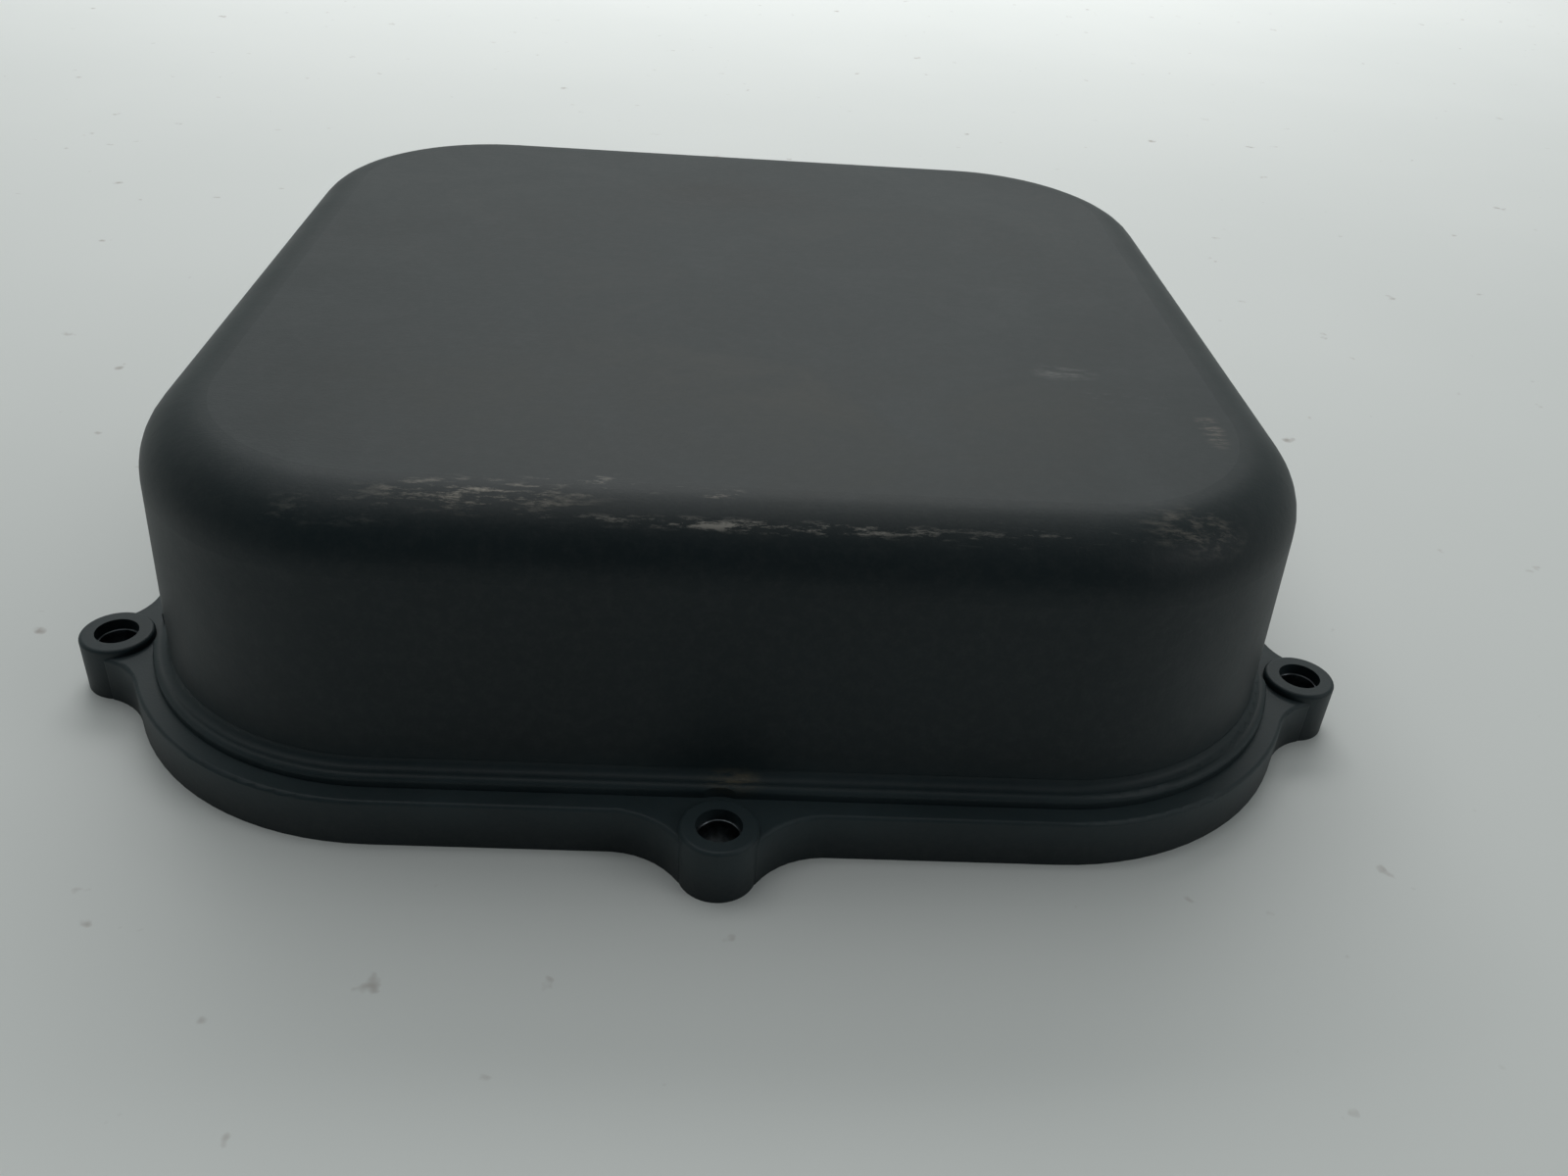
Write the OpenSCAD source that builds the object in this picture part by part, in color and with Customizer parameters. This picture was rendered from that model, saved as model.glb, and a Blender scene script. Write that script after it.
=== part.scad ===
// Garage door opener head, in millimetres. A drafted, round-cornered moulded cover with six
// bolt lugs stands rim down over a flush base plate. The plate carries a worm gearmotor whose
// hollow output hub opens downwards, a travel encoder, a transformer and the control board.
// Z is up, -Y is the front, and the origin is the centre of the rim's underside.

/* [Cover] */
// Width over the walls at the rim
cover_w = 200; // [196:1:204]
// Depth over the walls at the rim
cover_d = 197.4; // [193:0.2:201]
// Height from the rim's underside to the flat top
cover_h = 57.4; // [57:0.2:62]
// Plan radius of the wall corners at the rim
corner_r = 44; // [40:1:46]
// Radius of the rounded top edge
top_r = 12; // [9:0.5:14]
// Draft of the walls in degrees
draft = 1.9; // [1:0.1:2.4]
// Wall thickness
wall_t = 3.2; // [2.6:0.1:3.4]
// How far the rim stands out from the wall
rim_out = 6.2; // [5.8:0.1:7]
// Height of the rim
rim_h = 9; // [8:0.2:9.6]
// How far the bead above the rim stands out from the wall
bead_out = 2.6; // [2:0.1:3]
// Height of the bead
bead_h = 11.2; // [10.6:0.2:12]

/* [Lugs] */
// Radius of a lug's round boss
lug_r = 6.4; // [6:0.1:7]
// Height of a lug's boss
lug_h = 10.4; // [9.8:0.1:11]
// Radius of the bolt hole through a lug
lug_hole_r = 3.4; // [3.2:0.05:3.6]
// Distance of the side lugs from the centre line
side_lug_x = 108.4; // [107.6:0.1:109]
// Distance of the side lugs from the middle, front to back
side_lug_y = 63.8; // [61:0.1:66]
// Distance of the front and back lugs from the middle
end_lug_y = 109.1; // [108:0.1:110]
// Radius of the hollow blends beside a lug
lug_blend_r = 14; // [8:1:16]
// Radius cleared around a boss for a bolt head
lug_spot_r = 8.2; // [7.6:0.1:8.6]

/* [Base plate] */
// Thickness of the base plate
plate_t = 3; // [2.5:0.1:3.2]
// Thickness of the rim gasket
gasket_t = 1.2; // [1:0.1:1.4]

/* [Worm drive] */
// Teeth on the worm wheel
wheel_teeth = 40; // [40:1:40]
// Module of the worm drive
worm_module = 1.25; // [1.25:0.05:1.25]
// Pitch radius of the worm
worm_pitch_r = 6; // [6:0.1:6]
// Radius of the bore in the output hub
output_bore_r = 6; // [5:0.5:7]

/* [Travel encoder] */
// Module of the encoder gears
encoder_module = 0.8; // [0.8:0.05:0.8]
// Teeth on the pinion that the hub carries
pinion_teeth = 18; // [18:1:18]
// Teeth on the encoder gear
encoder_teeth = 54; // [54:1:54]
// Slots in the encoder disc
encoder_slots = 24; // [12:2:32]

/* [Motor] */
// Outer radius of the motor can
motor_r = 22; // [21:0.5:22]
// Radius of the motor shaft
shaft_r = 2.5; // [2.5:0.1:2.5]
// Height of the motor axis above the rim's underside
axis_z = 27; // [27:0.2:27.6]

/* [Control board] */
// Width of the board
board_w = 70; // [68:1:70]
// Depth of the board
board_d = 82; // [80:1:82]
// Height of the board's underside
board_z = 13; // [12:0.5:14]

/* [Hidden] */
$fn = 72;
gap = 0.3;                               // running room between separate bodies
fit = 0.05;                              // radial clearance of a shaft in its bush
eps = 0.02;
edge_r = 0.7;                            // rounding of the rim's and lugs' upper edges

// Plan half sizes of the wall, and the corner centres that every rim outline shares.
half_w = cover_w / 2;
half_d = cover_d / 2;
corner_x = half_w - corner_r;
corner_y = half_d - corner_r;
rebate_z = plate_t + gasket_t + gap;
top_inside = cover_h - wall_t;
pillar_spots = [[half_w - 11, 0], [-half_w + 11, 0], [0, half_d - 11.2], [0, -half_d + 11.2]];
pillar_r = 4.6;
lug_spots = [for (sx = [-1, 1], sy = [-1, 1]) [sx * side_lug_x, sy * side_lug_y],
    [0, end_lug_y], [0, -end_lug_y]];
sleeve_r = lug_hole_r + 0.9;
sleeve_h = lug_h - 2;

// The worm lies along Y under the wheel's tip, and the wheel turns about Z.
wheel_r = wheel_teeth * worm_module / 2;
motor_x = -55;
hub_x = motor_x + worm_pitch_r + wheel_r;
hub_y = 20;
wheel_h = 10;
wheel_z = axis_z - wheel_h / 2;
worm_pitch = PI * worm_module;
worm_turns = 10;
case_top = 38;
lid_t = 2.5;
case_y0 = hub_y - 31;
case_y1 = hub_y + 31;
case_x0 = motor_x - 12;
case_wall_r = 31;
case_bolts = [[hub_x - 16, hub_y - 27], [hub_x - 16, hub_y + 27],
    [hub_x + 26.2, hub_y - 18.3], [hub_x + 26.2, hub_y + 18.3]];
motor_y0 = -74;
motor_y1 = case_y0 - 3;

pinion_r = encoder_module * pinion_teeth / 2;
encoder_r = encoder_module * encoder_teeth / 2;
encoder_y = hub_y + pinion_r + encoder_r;
encoder_z = case_top + lid_t + 2;
encoder_t = 2.5;
disc_r = encoder_r + 4;
disc_t = 0.6;
disc_lift = 0.9;                         // keeps the disc clear above the pinion
post_r = 2.5;
sensor_y = encoder_y + disc_r;

board_x = 48;
board_y = -35;
board_t = 1.6;
board_top = board_z + board_t;
board_fixings = [for (sx = [-1, 1], sy = [-1, 1])
    [board_x + sx * (board_w / 2 - 5), board_y + sy * (board_d / 2 - 5)]];
button_spots = [[62, -56], [73, -56]];
trimmer_spots = [[62, -69], [71.2, -69]];
relay_spots = [[24, -14], [24, -38]];
fuse_y = -6;
board_terminal_x = 25;                   // first of the board's clamp terminals
transformer_x = 59;
transformer_y = 50;
terminal_x = 17;
terminal_y = 61.4;
grommet_spot = [20, 78];

// ---- shared shapes ----------------------------------------------------------------------

// A flat ring.
module ring(r_out, r_in, h) {
    difference() {
        cylinder(r = r_out, h = h);
        translate([0, 0, -1]) cylinder(r = r_in, h = h + 2);
    }
}

// A ring or rod lying along Y, starting at y.
module along_y(y) {
    translate([0, y, 0]) rotate([-90, 0, 0]) children();
}

// The round-cornered slab that stands out from the wall line by out.
module rounded_slab(out, h) {
    r = corner_r + out;
    for (sx = [-1, 1], sy = [-1, 1])
        translate([sx * corner_x, sy * corner_y, 0]) cylinder(r = r, h = h);
    translate([-corner_x - r, -corner_y, 0]) cube([2 * (corner_x + r), 2 * corner_y, h]);
    translate([-corner_x, -corner_y - r, 0]) cube([2 * corner_x, 2 * (corner_y + r), h]);
}

// Half section of the drafted wall's solid, inset by t, with its top edge rounded.
module wall_section(t) {
    r = top_r - t;
    top = cover_h - t;
    foot = corner_r - t;
    arc_z = top - r;
    arc_x = foot - arc_z * tan(draft) - r / cos(draft);
    polygon([[0, 0], [foot, 0], [arc_x + r * cos(draft), arc_z + r * sin(draft)],
        [arc_x, top], [0, top]]);
    translate([arc_x, arc_z]) circle(r);
}

// Half section of a square step with a rounded outer edge.
module step_section(out, h, r) {
    square([out - r, h]);
    square([out, h - r]);
    translate([out - r, h - r]) circle(r);
}

// Half section of the whole cover's outside: wall, foot fillet, bead and rim.
module outside_section() {
    foot_r = 1.6;
    foot_x = corner_r - bead_h * tan(draft);
    wall_section(0);
    step_section(corner_r + bead_out, bead_h, 1.1);
    step_section(corner_r + rim_out, rim_h, edge_r);
    difference() {
        translate([foot_x - 2, bead_h - 1]) square([2 + foot_r, 1 + foot_r]);
        translate([foot_x + foot_r, bead_h + foot_r]) circle(foot_r);
    }
}

// Sweeps a half section round the plan: a quarter turn at each corner, a straight run along
// each wall, and a block of height top to fill the middle.
module swept_shell(top) {
    for (sx = [0, 1], sy = [0, 1])
        mirror([sx, 0, 0]) mirror([0, sy, 0]) translate([corner_x, corner_y, 0])
            rotate_extrude(angle = 90) children();
    for (s = [0, 1]) {
        mirror([s, 0, 0]) translate([corner_x, corner_y, 0]) rotate([90, 0, 0])
            linear_extrude(2 * corner_y) children();
        mirror([0, s, 0]) translate([-corner_x, corner_y, 0]) rotate([90, 0, 90])
            linear_extrude(2 * corner_x) children();
    }
    translate([-corner_x, -corner_y, 0]) cube([2 * corner_x, 2 * corner_y, top]);
}

// Point at t along the smooth curve through four neighbours, between the middle two.
function curve_point(a, b, c, d, t) = 0.5 * (2 * b + (c - a) * t
    + (2 * a - 5 * b + 4 * c - d) * t * t + (3 * b - a - 3 * c + d) * t * t * t);

// A smooth path through a list of points, with n steps between neighbours.
function smooth_path(p, n) = let (last = len(p) - 1) concat(
    [for (i = [0 : last - 1], k = [0 : n - 1]) curve_point(
        p[max(i - 1, 0)], p[i], p[i + 1], p[min(i + 2, last)], k / n)], [p[last]]);

// A wire of radius r that follows a smooth path through a list of points.
module lead(points, r) {
    sides = 8;
    path = smooth_path(points, 5);
    last = len(path) - 1;
    rings = [for (i = [0 : last]) let (
        way = path[min(i + 1, last)] - path[max(i - 1, 0)],
        ahead = way / norm(way),
        across = cross(ahead, [0.35, 0.2, 0.9]),
        side = across / norm(across),
        up = cross(side, ahead))
        each [for (k = [0 : sides - 1])
            path[i] + r * (cos(k * 360 / sides) * side + sin(k * 360 / sides) * up)]];
    polyhedron(rings, concat(
        [[for (k = [sides - 1 : -1 : 0]) k]],
        [for (i = [0 : last - 1], k = [0 : sides - 1]) let (n = (k + 1) % sides)
            each [[sides * i + k, sides * i + n, sides * (i + 1) + n],
                [sides * i + k, sides * (i + 1) + n, sides * (i + 1) + k]]],
        [[for (k = [0 : sides - 1]) sides * last + k]]));
}

// A cross-recess pan head with its shank below, head underside at z = 0.
module pan_screw(r, head_r, head_h, length) {
    difference() {
        cylinder(r = head_r, h = head_h);
        for (a = [0, 90])
            rotate(a) translate([-head_r * 0.6, -head_r * 0.12, head_h * 0.45])
                cube([head_r * 1.2, head_r * 0.24, head_h]);
    }
    translate([0, 0, -length]) cylinder(r = r, h = length + eps);
}

// A countersunk screw pointing up, head face at z = 0.
module flush_screw(r, head_r, length) {
    difference() {
        union() {
            cylinder(r1 = head_r, r2 = r, h = head_r - r);
            cylinder(r = r, h = length);
        }
        for (a = [0, 90])
            rotate(a) translate([-head_r * 0.6, -head_r * 0.12, -1])
                cube([head_r * 1.2, head_r * 0.24, 1.9]);
    }
}

// The countersunk hole that a flush screw goes through, opening downwards at z = 0.
module flush_hole(r, head_r, h) {
    translate([0, 0, -1]) cylinder(r = r + 0.15, h = h + 2);
    cylinder(r1 = head_r + 0.15, r2 = r + 0.15, h = head_r - r);
    translate([0, 0, -1]) cylinder(r = head_r + 0.15, h = 1 + eps);
}

// A flat gear with trapezoid teeth, thinned by play for running room.
module flat_gear(teeth, module_size, h) {
    play = 0.12;
    pitch_r = teeth * module_size / 2;
    root_r = pitch_r - 1.3 * module_size;
    tip_r = pitch_r + 0.9 * module_size;
    half = PI * module_size / 4 - play;
    lean = module_size * tan(20);
    linear_extrude(h) {
        circle(root_r);
        for (i = [0 : teeth - 1])
            rotate(i * 360 / teeth) polygon([[root_r - 0.4, -half - lean], [pitch_r, -half],
                [tip_r, lean - half], [tip_r, half - lean], [pitch_r, half],
                [root_r - 0.4, half + lean]]);
    }
}

// ---- cover --------------------------------------------------------------------------------

// The hollow blend between a boss at the origin and the rim. The blend's circle has its centre
// at centre and touches the rim at rim_touch; inwards points from there into the rim.
// The cutter flares at the top, which rounds the blend's upper edge.
module lug_blend(centre, rim_touch, inwards, blend_r) {
    cut_r = blend_r + eps;
    boss_touch = 0.9 * lug_r / norm(centre) * centre;
    difference() {
        linear_extrude(rim_h) polygon([rim_touch, boss_touch, [0, 0],
            [rim_touch[0] + inwards[0], 0], rim_touch + inwards]);
        translate([centre[0], centre[1], 0]) rotate_extrude() {
            translate([0, -1]) square([cut_r, rim_h + 2]);
            difference() {
                translate([cut_r - 1, rim_h - edge_r]) square([1 + edge_r, 1 + edge_r]);
                translate([cut_r + edge_r, rim_h - edge_r]) circle(edge_r);
            }
        }
    }
}

module lug_boss(line) {
    rotate_extrude() step_section(lug_r, lug_h, edge_r);
    translate([line - 3, -2, 0]) cube([3 - line, 4, rim_h]);
}

// Blend against a straight stretch of rim that lies at x = line.
module straight_blend(line, blend_r) {
    centre_x = line + blend_r;
    centre_y = sqrt(pow(lug_r + blend_r, 2) - pow(centre_x, 2));
    lug_blend([centre_x, centre_y], [line, centre_y], [-3, 0], blend_r);
}

// Blend against the corner's arc of rim, whose centre lies at x = -reach.
module corner_blend(reach, blend_r) {
    rim_r = corner_r + rim_out;
    centre_x = (pow(rim_r + blend_r, 2) - pow(lug_r + blend_r, 2) - reach * reach) / (2 * reach);
    centre_y = -sqrt(pow(lug_r + blend_r, 2) - pow(centre_x, 2));
    outwards = [centre_x + reach, centre_y] / (rim_r + blend_r);
    lug_blend([centre_x, centre_y], rim_r * outwards - [reach, 0], -3 * outwards, blend_r);
}

// Each lug points away from the middle; the side ones sit where the corners begin.
module all_lugs() {
    end_line = half_d + rim_out - end_lug_y;
    side_line = half_w + rim_out - side_lug_x;
    corner_reach = norm([side_lug_x - corner_x, side_lug_y - corner_y]);
    corner_turn = -atan2(side_lug_y - corner_y, side_lug_x - corner_x);
    for (s = [-1, 1])
        translate([0, s * end_lug_y, 0]) rotate(90 * s) {
            lug_boss(end_line);
            for (side = [0, 1])
                mirror([0, side, 0]) straight_blend(end_line, lug_blend_r);
        }
    for (sx = [0, 1], sy = [0, 1])
        mirror([sx, 0, 0]) mirror([0, sy, 0]) translate([side_lug_x, -side_lug_y, 0]) {
            lug_boss(side_line);
            straight_blend(side_line, lug_blend_r - 4);
            rotate(corner_turn) corner_blend(corner_reach, lug_blend_r - 2);
        }
}

// Screw pillar moulded to the inside of the wall, with a web to tie it.
module pillar(x, y) {
    reach = 8;
    height = 42;
    translate([x, y, plate_t + gap]) cylinder(r = pillar_r, h = height);
    rotate(atan2(y, x)) translate([norm([x, y]), -1.5, plate_t + gap])
        cube([reach, 3, height - 2]);
}

// The outside, with the bead cleared around each boss.
module cover_outside() {
    difference() {
        swept_shell(cover_h) outside_section();
        for (p = lug_spots)
            translate([p[0], p[1], rim_h]) cylinder(r = lug_spot_r, h = 12);
    }
    all_lugs();
}

// The room inside, the plate's rebate, and a stepped hole through each lug.
module cover_hollows() {
    translate([0, 0, -eps]) swept_shell(top_inside) wall_section(wall_t);
    translate([0, 0, -1]) rounded_slab(2.3, rebate_z + 1);
    for (p = lug_spots)
        translate([p[0], p[1], -1]) {
            cylinder(r = lug_hole_r + 0.35, h = lug_h + 2);
            cylinder(r = sleeve_r, h = sleeve_h + 1);
        }
}

module cover() {
    rib_t = 1.6;
    rib_h = 2.4;
    rib_reach = 72;
    color("#2b3033") difference() {
        union() {
            difference() {
                cover_outside();
                cover_hollows();
            }
            for (p = pillar_spots)
                pillar(p[0], p[1]);
            for (s = [-1, 1]) {
                translate([-rib_reach, s * 34 - rib_t / 2, top_inside - rib_h])
                    cube([2 * rib_reach, rib_t, rib_h + 1]);
                translate([s * 34 - rib_t / 2, -rib_reach, top_inside - rib_h])
                    cube([rib_t, 2 * rib_reach, rib_h + 1]);
            }
        }
        for (p = pillar_spots)
            translate([p[0], p[1], 0]) cylinder(r = 2, h = 18);
    }
}

// Steel sleeves pressed into the lugs from below, under a plastic lip.
module lug_sleeves() {
    color("#8d9092") for (p = lug_spots)
        translate([p[0], p[1], 0]) ring(sleeve_r, lug_hole_r - 0.1, sleeve_h);
}

// ---- base plate ---------------------------------------------------------------------------

module base_plate() {
    color("#9aa0a3") difference() {
        rounded_slab(2, plate_t);
        for (p = concat(pillar_spots, case_bolts))
            translate([p[0], p[1], 0]) flush_hole(2, 3.8, plate_t);
        translate([hub_x, hub_y, -1]) cylinder(r = 14.5, h = plate_t + 2);
        translate([grommet_spot[0], grommet_spot[1], -1]) cylinder(r = 6.3, h = plate_t + 2);
    }
}

module rim_gasket() {
    color("#1a1a1a") translate([0, 0, plate_t]) difference() {
        rounded_slab(1.8, gasket_t);
        translate([0, 0, -1]) rounded_slab(-2.6, gasket_t + 2);
    }
}

// Countersunk screws from below: four into the cover's pillars, four into the gear case.
module flush_screws() {
    color("#b9bcbe") for (p = concat(pillar_spots, case_bolts))
        translate([p[0], p[1], 0.1]) flush_screw(1.95, 3.75, 13);
}

// ---- motor --------------------------------------------------------------------------------

module at_motor() {
    translate([motor_x, 0, axis_z]) children();
}

module motor_can() {
    color("#a7abad") at_motor() difference() {
        union() {
            along_y(motor_y0) cylinder(r = motor_r, h = motor_y1 - motor_y0);
            along_y(motor_y1) cylinder(r = 8.5, h = case_y0 - motor_y1);
        }
        along_y(motor_y0 - 1) cylinder(r = motor_r - 1.6, h = motor_y1 - motor_y0 - 1);
        along_y(motor_y1 - 5) cylinder(r = 6.5, h = 10);
    }
}

// Plastic tail of the motor, with the two brush boxes and the lead tags' slots.
module motor_end_cap() {
    color("#20242a") at_motor() difference() {
        union() {
            along_y(motor_y0 - 5) cylinder(r = motor_r, h = 5);
            along_y(motor_y0 - eps) ring(motor_r - 1.7, motor_r - 4.5, 4);
            for (s = [-1, 1])
                translate([s * 12 - 5, motor_y0 - 1, -3.4]) cube([10, 9, 6.8]);
        }
        along_y(motor_y0 - 3.5) cylinder(r = 5.4, h = 6);
        for (s = [-1, 1])
            translate([s * 12 - 6, motor_y0 + 2, -2.05]) cube([12, 5, 4.1]);
    }
}

module motor_magnets() {
    color("#3a3a3c") at_motor() along_y(motor_y0 + 12) difference() {
        ring(motor_r - 1.65, 16.3, 34);
        for (s = [-1, 1])
            translate([-5, s * 18 - 12, -1]) cube([10, 24, 36]);
    }
}

module motor_brushes() {
    color("#4a4644") at_motor() for (s = [-1, 1])
        translate([s * 9.9 - 3.8, motor_y0 + 2.5, -2]) cube([7.6, 4, 4]);
}

module motor_bearings() {
    color("#b08d57") at_motor() {
        along_y(motor_y1 - 2) ring(6.48, shaft_r + fit, 5);
        along_y(motor_y0 - 3.4) ring(5.38, shaft_r + fit, 3.4);
    }
}

module motor_shaft() {
    color("#c8cacc") at_motor() along_y(motor_y0 - 3) cylinder(r = shaft_r, h = 49 - motor_y0 + 3);
}

module armature_core() {
    slots = 10;
    color("#6d6f70") at_motor() along_y(motor_y0 + 14) difference() {
        cylinder(r = 15.7, h = 30);
        translate([0, 0, -1]) cylinder(r = shaft_r, h = 32);
        for (i = [0 : slots - 1])
            rotate(i * 360 / slots) translate([7.5, -1.3, -1]) cube([10, 2.6, 32]);
    }
}

module armature_windings() {
    color("#b5602e") at_motor() for (y = [motor_y0 + 8.8, motor_y0 + 44])
        along_y(y) rotate_extrude() translate([9.2, 2.6]) circle(2.6);
}

module commutator() {
    bars = 10;
    color("#c07a45") at_motor() along_y(motor_y0 + 2) difference() {
        cylinder(r = 6, h = 6);
        translate([0, 0, -1]) cylinder(r = shaft_r, h = 8);
        for (i = [0 : bars - 1])
            rotate(i * 360 / bars) translate([5, -0.25, -1]) cube([2, 0.5, 8]);
    }
}

// Points of one cross-section of the worm's thread at a given turn.
function thread_ring(turn) = let (
    a = 180 + 360 * turn,
    y = (turn - worm_turns / 2) * worm_pitch,
    half = worm_pitch / 4 - 0.16,
    lean = worm_module * tan(20),
    profile = [[worm_pitch_r - 1.75, -half - lean], [worm_pitch_r + 1.05, lean - half],
        [worm_pitch_r + 1.05, half - lean], [worm_pitch_r - 1.75, half + lean]])
    [for (p = profile) [p[0] * cos(a), y + p[1], p[0] * sin(a)]];

// The thread advances along +Y against the turn about +Y, so it drives the wheel forwards.
module worm() {
    steps = 24 * worm_turns;
    points = [for (i = [0 : steps]) each thread_ring(i / 24)];
    faces = concat([[0, 1, 2, 3]], [for (i = [0 : steps - 1], k = [0 : 3])
        let (n = (k + 1) % 4) each [[4 * i + k, 4 * i + 4 + k, 4 * i + 4 + n],
            [4 * i + k, 4 * i + 4 + n, 4 * i + n]]],
        [[for (k = [3 : -1 : 0]) 4 * steps + k]]);
    core_r = worm_pitch_r - 1.5;
    core_l = (worm_turns + 1) * worm_pitch;
    color("#b7babc") at_motor() difference() {
        union() {
            translate([0, hub_y, 0]) polyhedron(points, faces);
            along_y(hub_y - core_l / 2) cylinder(r = core_r, h = core_l);
        }
        along_y(-100) cylinder(r = shaft_r, h = 200);
    }
}

module motor_saddle() {
    color("#22262a") difference() {
        translate([motor_x - 18, motor_y0 + 12, plate_t]) cube([36, 36, 7]);
        at_motor() along_y(motor_y0) cylinder(r = motor_r, h = 60);
    }
}

// Steel band over the can, turned out into two feet on the plate.
module motor_strap() {
    band = 1.2;
    strap_y = motor_y0 + 24;
    color("#b4b7b9") translate([motor_x, strap_y, 0]) difference() {
        union() {
            translate([0, 0, axis_z]) along_y(0) cylinder(r = motor_r + band, h = 12);
            translate([-motor_r - band, 0, plate_t])
                cube([2 * (motor_r + band), 12, axis_z - plate_t]);
            translate([-motor_r - 10, 0, plate_t]) cube([2 * (motor_r + 10), 12, band]);
        }
        translate([0, 0, axis_z]) along_y(-1) cylinder(r = motor_r, h = 14);
        translate([-motor_r, -1, plate_t - 1]) cube([2 * motor_r, 14, axis_z - plate_t + 1]);
        for (s = [-1, 1])
            translate([s * (motor_r + 5.5), 6, 0]) cylinder(r = 2, h = 10);
    }
}

// The pan-head screws that hold sheet metal down: strap feet, transformer feet and bracket.
module sheet_screws() {
    sheet_t = 1.2;
    spots = concat(
        [for (s = [-1, 1]) [motor_x + s * (motor_r + 5.5), motor_y0 + 30]],
        [for (s = [-1, 1]) [transformer_x + s * 25.5, transformer_y]],
        [[hub_x, sensor_y + 9.4]]);
    color("#c2c5c7") for (p = spots)
        translate([p[0], p[1], plate_t + sheet_t]) pan_screw(1.95, 3.4, 2.2, sheet_t - eps);
}

// ---- gear case ----------------------------------------------------------------------------

module at_hub() {
    translate([hub_x, hub_y, 0]) children();
}

// Plan of the gear case: a squared block over the worm and a round end over the wheel.
module case_plan(grow) {
    corner = 4;
    for (x = [case_x0 + corner, hub_x - corner], y = [case_y0 + corner, case_y1 - corner])
        translate([x, y]) circle(corner + grow);
    translate([case_x0 - grow, case_y0 + corner])
        square([hub_x - case_x0 + grow, case_y1 - case_y0 - 2 * corner]);
    translate([case_x0 + corner, case_y0 - grow])
        square([hub_x - case_x0 - corner, case_y1 - case_y0 + 2 * grow]);
    translate([hub_x, hub_y]) circle(case_wall_r + grow);
    for (p = [case_bolts[2], case_bolts[3]])
        translate(p) circle(5.4 + grow);
}

module gear_case() {
    color("#8e9396") difference() {
        translate([0, 0, plate_t]) linear_extrude(case_top - plate_t) case_plan(0);
        at_hub() {
            translate([0, 0, 19.5]) cylinder(r = 27.8, h = 40);
            cylinder(r = 14, h = 40);
        }
        at_motor() {
            along_y(case_y0 - 1) cylinder(r = 4, h = 20);
            along_y(-4) cylinder(r = 8.6, h = 48);
            along_y(40) cylinder(r = 6, h = 10);
        }
        for (p = case_bolts)
            translate([p[0], p[1], 0]) {
                cylinder(r = 2, h = 15);
                translate([0, 0, case_top - 12]) cylinder(r = 2, h = 20);
            }
    }
}

module gear_case_lid() {
    color("#34393c") difference() {
        union() {
            translate([0, 0, case_top]) linear_extrude(lid_t) case_plan(0);
            at_hub() translate([0, 0, case_top - 2.5]) cylinder(r = 9, h = 3);
        }
        at_hub() translate([0, 0, case_top - 5]) cylinder(r = 6.5, h = 20);
        for (p = case_bolts)
            translate([p[0], p[1], case_top - 1]) cylinder(r = 2.2, h = 10);
        translate([hub_x, encoder_y, case_top - 1]) cylinder(r = post_r, h = 10);
    }
}

module lid_screws() {
    color("#c2c5c7") for (p = case_bolts)
        translate([p[0], p[1], case_top + lid_t]) pan_screw(1.98, 3.6, 1.4, 13);
}

module worm_end_bush() {
    color("#b08d57") at_motor() along_y(44.2) ring(5.98, shaft_r + fit, 5.6);
}

module output_bush() {
    color("#b08d57") at_hub() translate([0, 0, 8.2]) ring(13.98, 12 + fit, 11);
}

module lid_bush() {
    color("#b08d57") at_hub() translate([0, 0, case_top - 2.5]) ring(6.48, 4 + fit, 5);
}

module output_seal() {
    color("#151515") at_hub() translate([0, 0, plate_t + 0.4]) difference() {
        ring(13.98, 12 + fit, 4.4);
        translate([0, 0, 3.6]) rotate_extrude() translate([13, 1]) circle(0.6);
    }
}

// Hollow output hub: journal below, wheel seat, then a thin stub through the lid.
module output_hub() {
    color("#a9acae") at_hub() difference() {
        union() {
            translate([0, 0, 0.5]) cylinder(r = 12, h = 19.8);
            translate([0, 0, 20]) cylinder(r = 16, h = wheel_z - 20);
            translate([0, 0, wheel_z - eps]) cylinder(r = 10, h = wheel_h + 2 + eps);
            translate([0, 0, wheel_z + wheel_h]) cylinder(r = 4, h = 13.5);
        }
        translate([0, 0, -1]) cylinder(r = output_bore_r, h = 27);
        translate([0, -2, -1]) cube([output_bore_r + 2.4, 4, 27]);
        translate([0, 0, wheel_z + wheel_h]) ring(12, 9.1, 1.2);
        translate([6.5, -2, wheel_z]) cube([6, 4, wheel_h + 3]);
    }
}

module worm_wheel() {
    lead_angle = atan(worm_module / (2 * worm_pitch_r));
    root_r = wheel_r - 1.5;
    half = worm_pitch / 4 - 0.16;
    lean = worm_module * tan(20);
    tip = 1.05;
    color("#d9d4c3") at_hub() translate([0, 0, wheel_z]) difference() {
        union() {
            cylinder(r = root_r, h = wheel_h);
            intersection() {
                cylinder(r = wheel_r + tip, h = wheel_h);
                for (i = [0 : wheel_teeth - 1])
                    rotate(i * 360 / wheel_teeth) translate([wheel_r, 0, wheel_h / 2])
                        rotate([lead_angle, 0, 0]) linear_extrude(wheel_h + 2, center = true)
                            polygon([[-2.4, -half - lean], [0, -half], [tip + 0.3, lean - half],
                                [tip + 0.3, half - lean], [0, half], [-2.4, half + lean]]);
            }
        }
        translate([0, 0, -1]) cylinder(r = 10, h = wheel_h + 2);
        translate([6.5, -2, -1]) cube([5.6, 4, wheel_h + 2]);
        for (i = [0 : 5])
            rotate(30 + i * 60) translate([16.6, 0, -1]) cylinder(r = 3, h = wheel_h + 2);
    }
}

module wheel_key() {
    color("#c8cacc") at_hub() translate([6.55, -1.98, wheel_z + 0.2])
        cube([5.4, 3.96, wheel_h - 0.4]);
}

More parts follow.
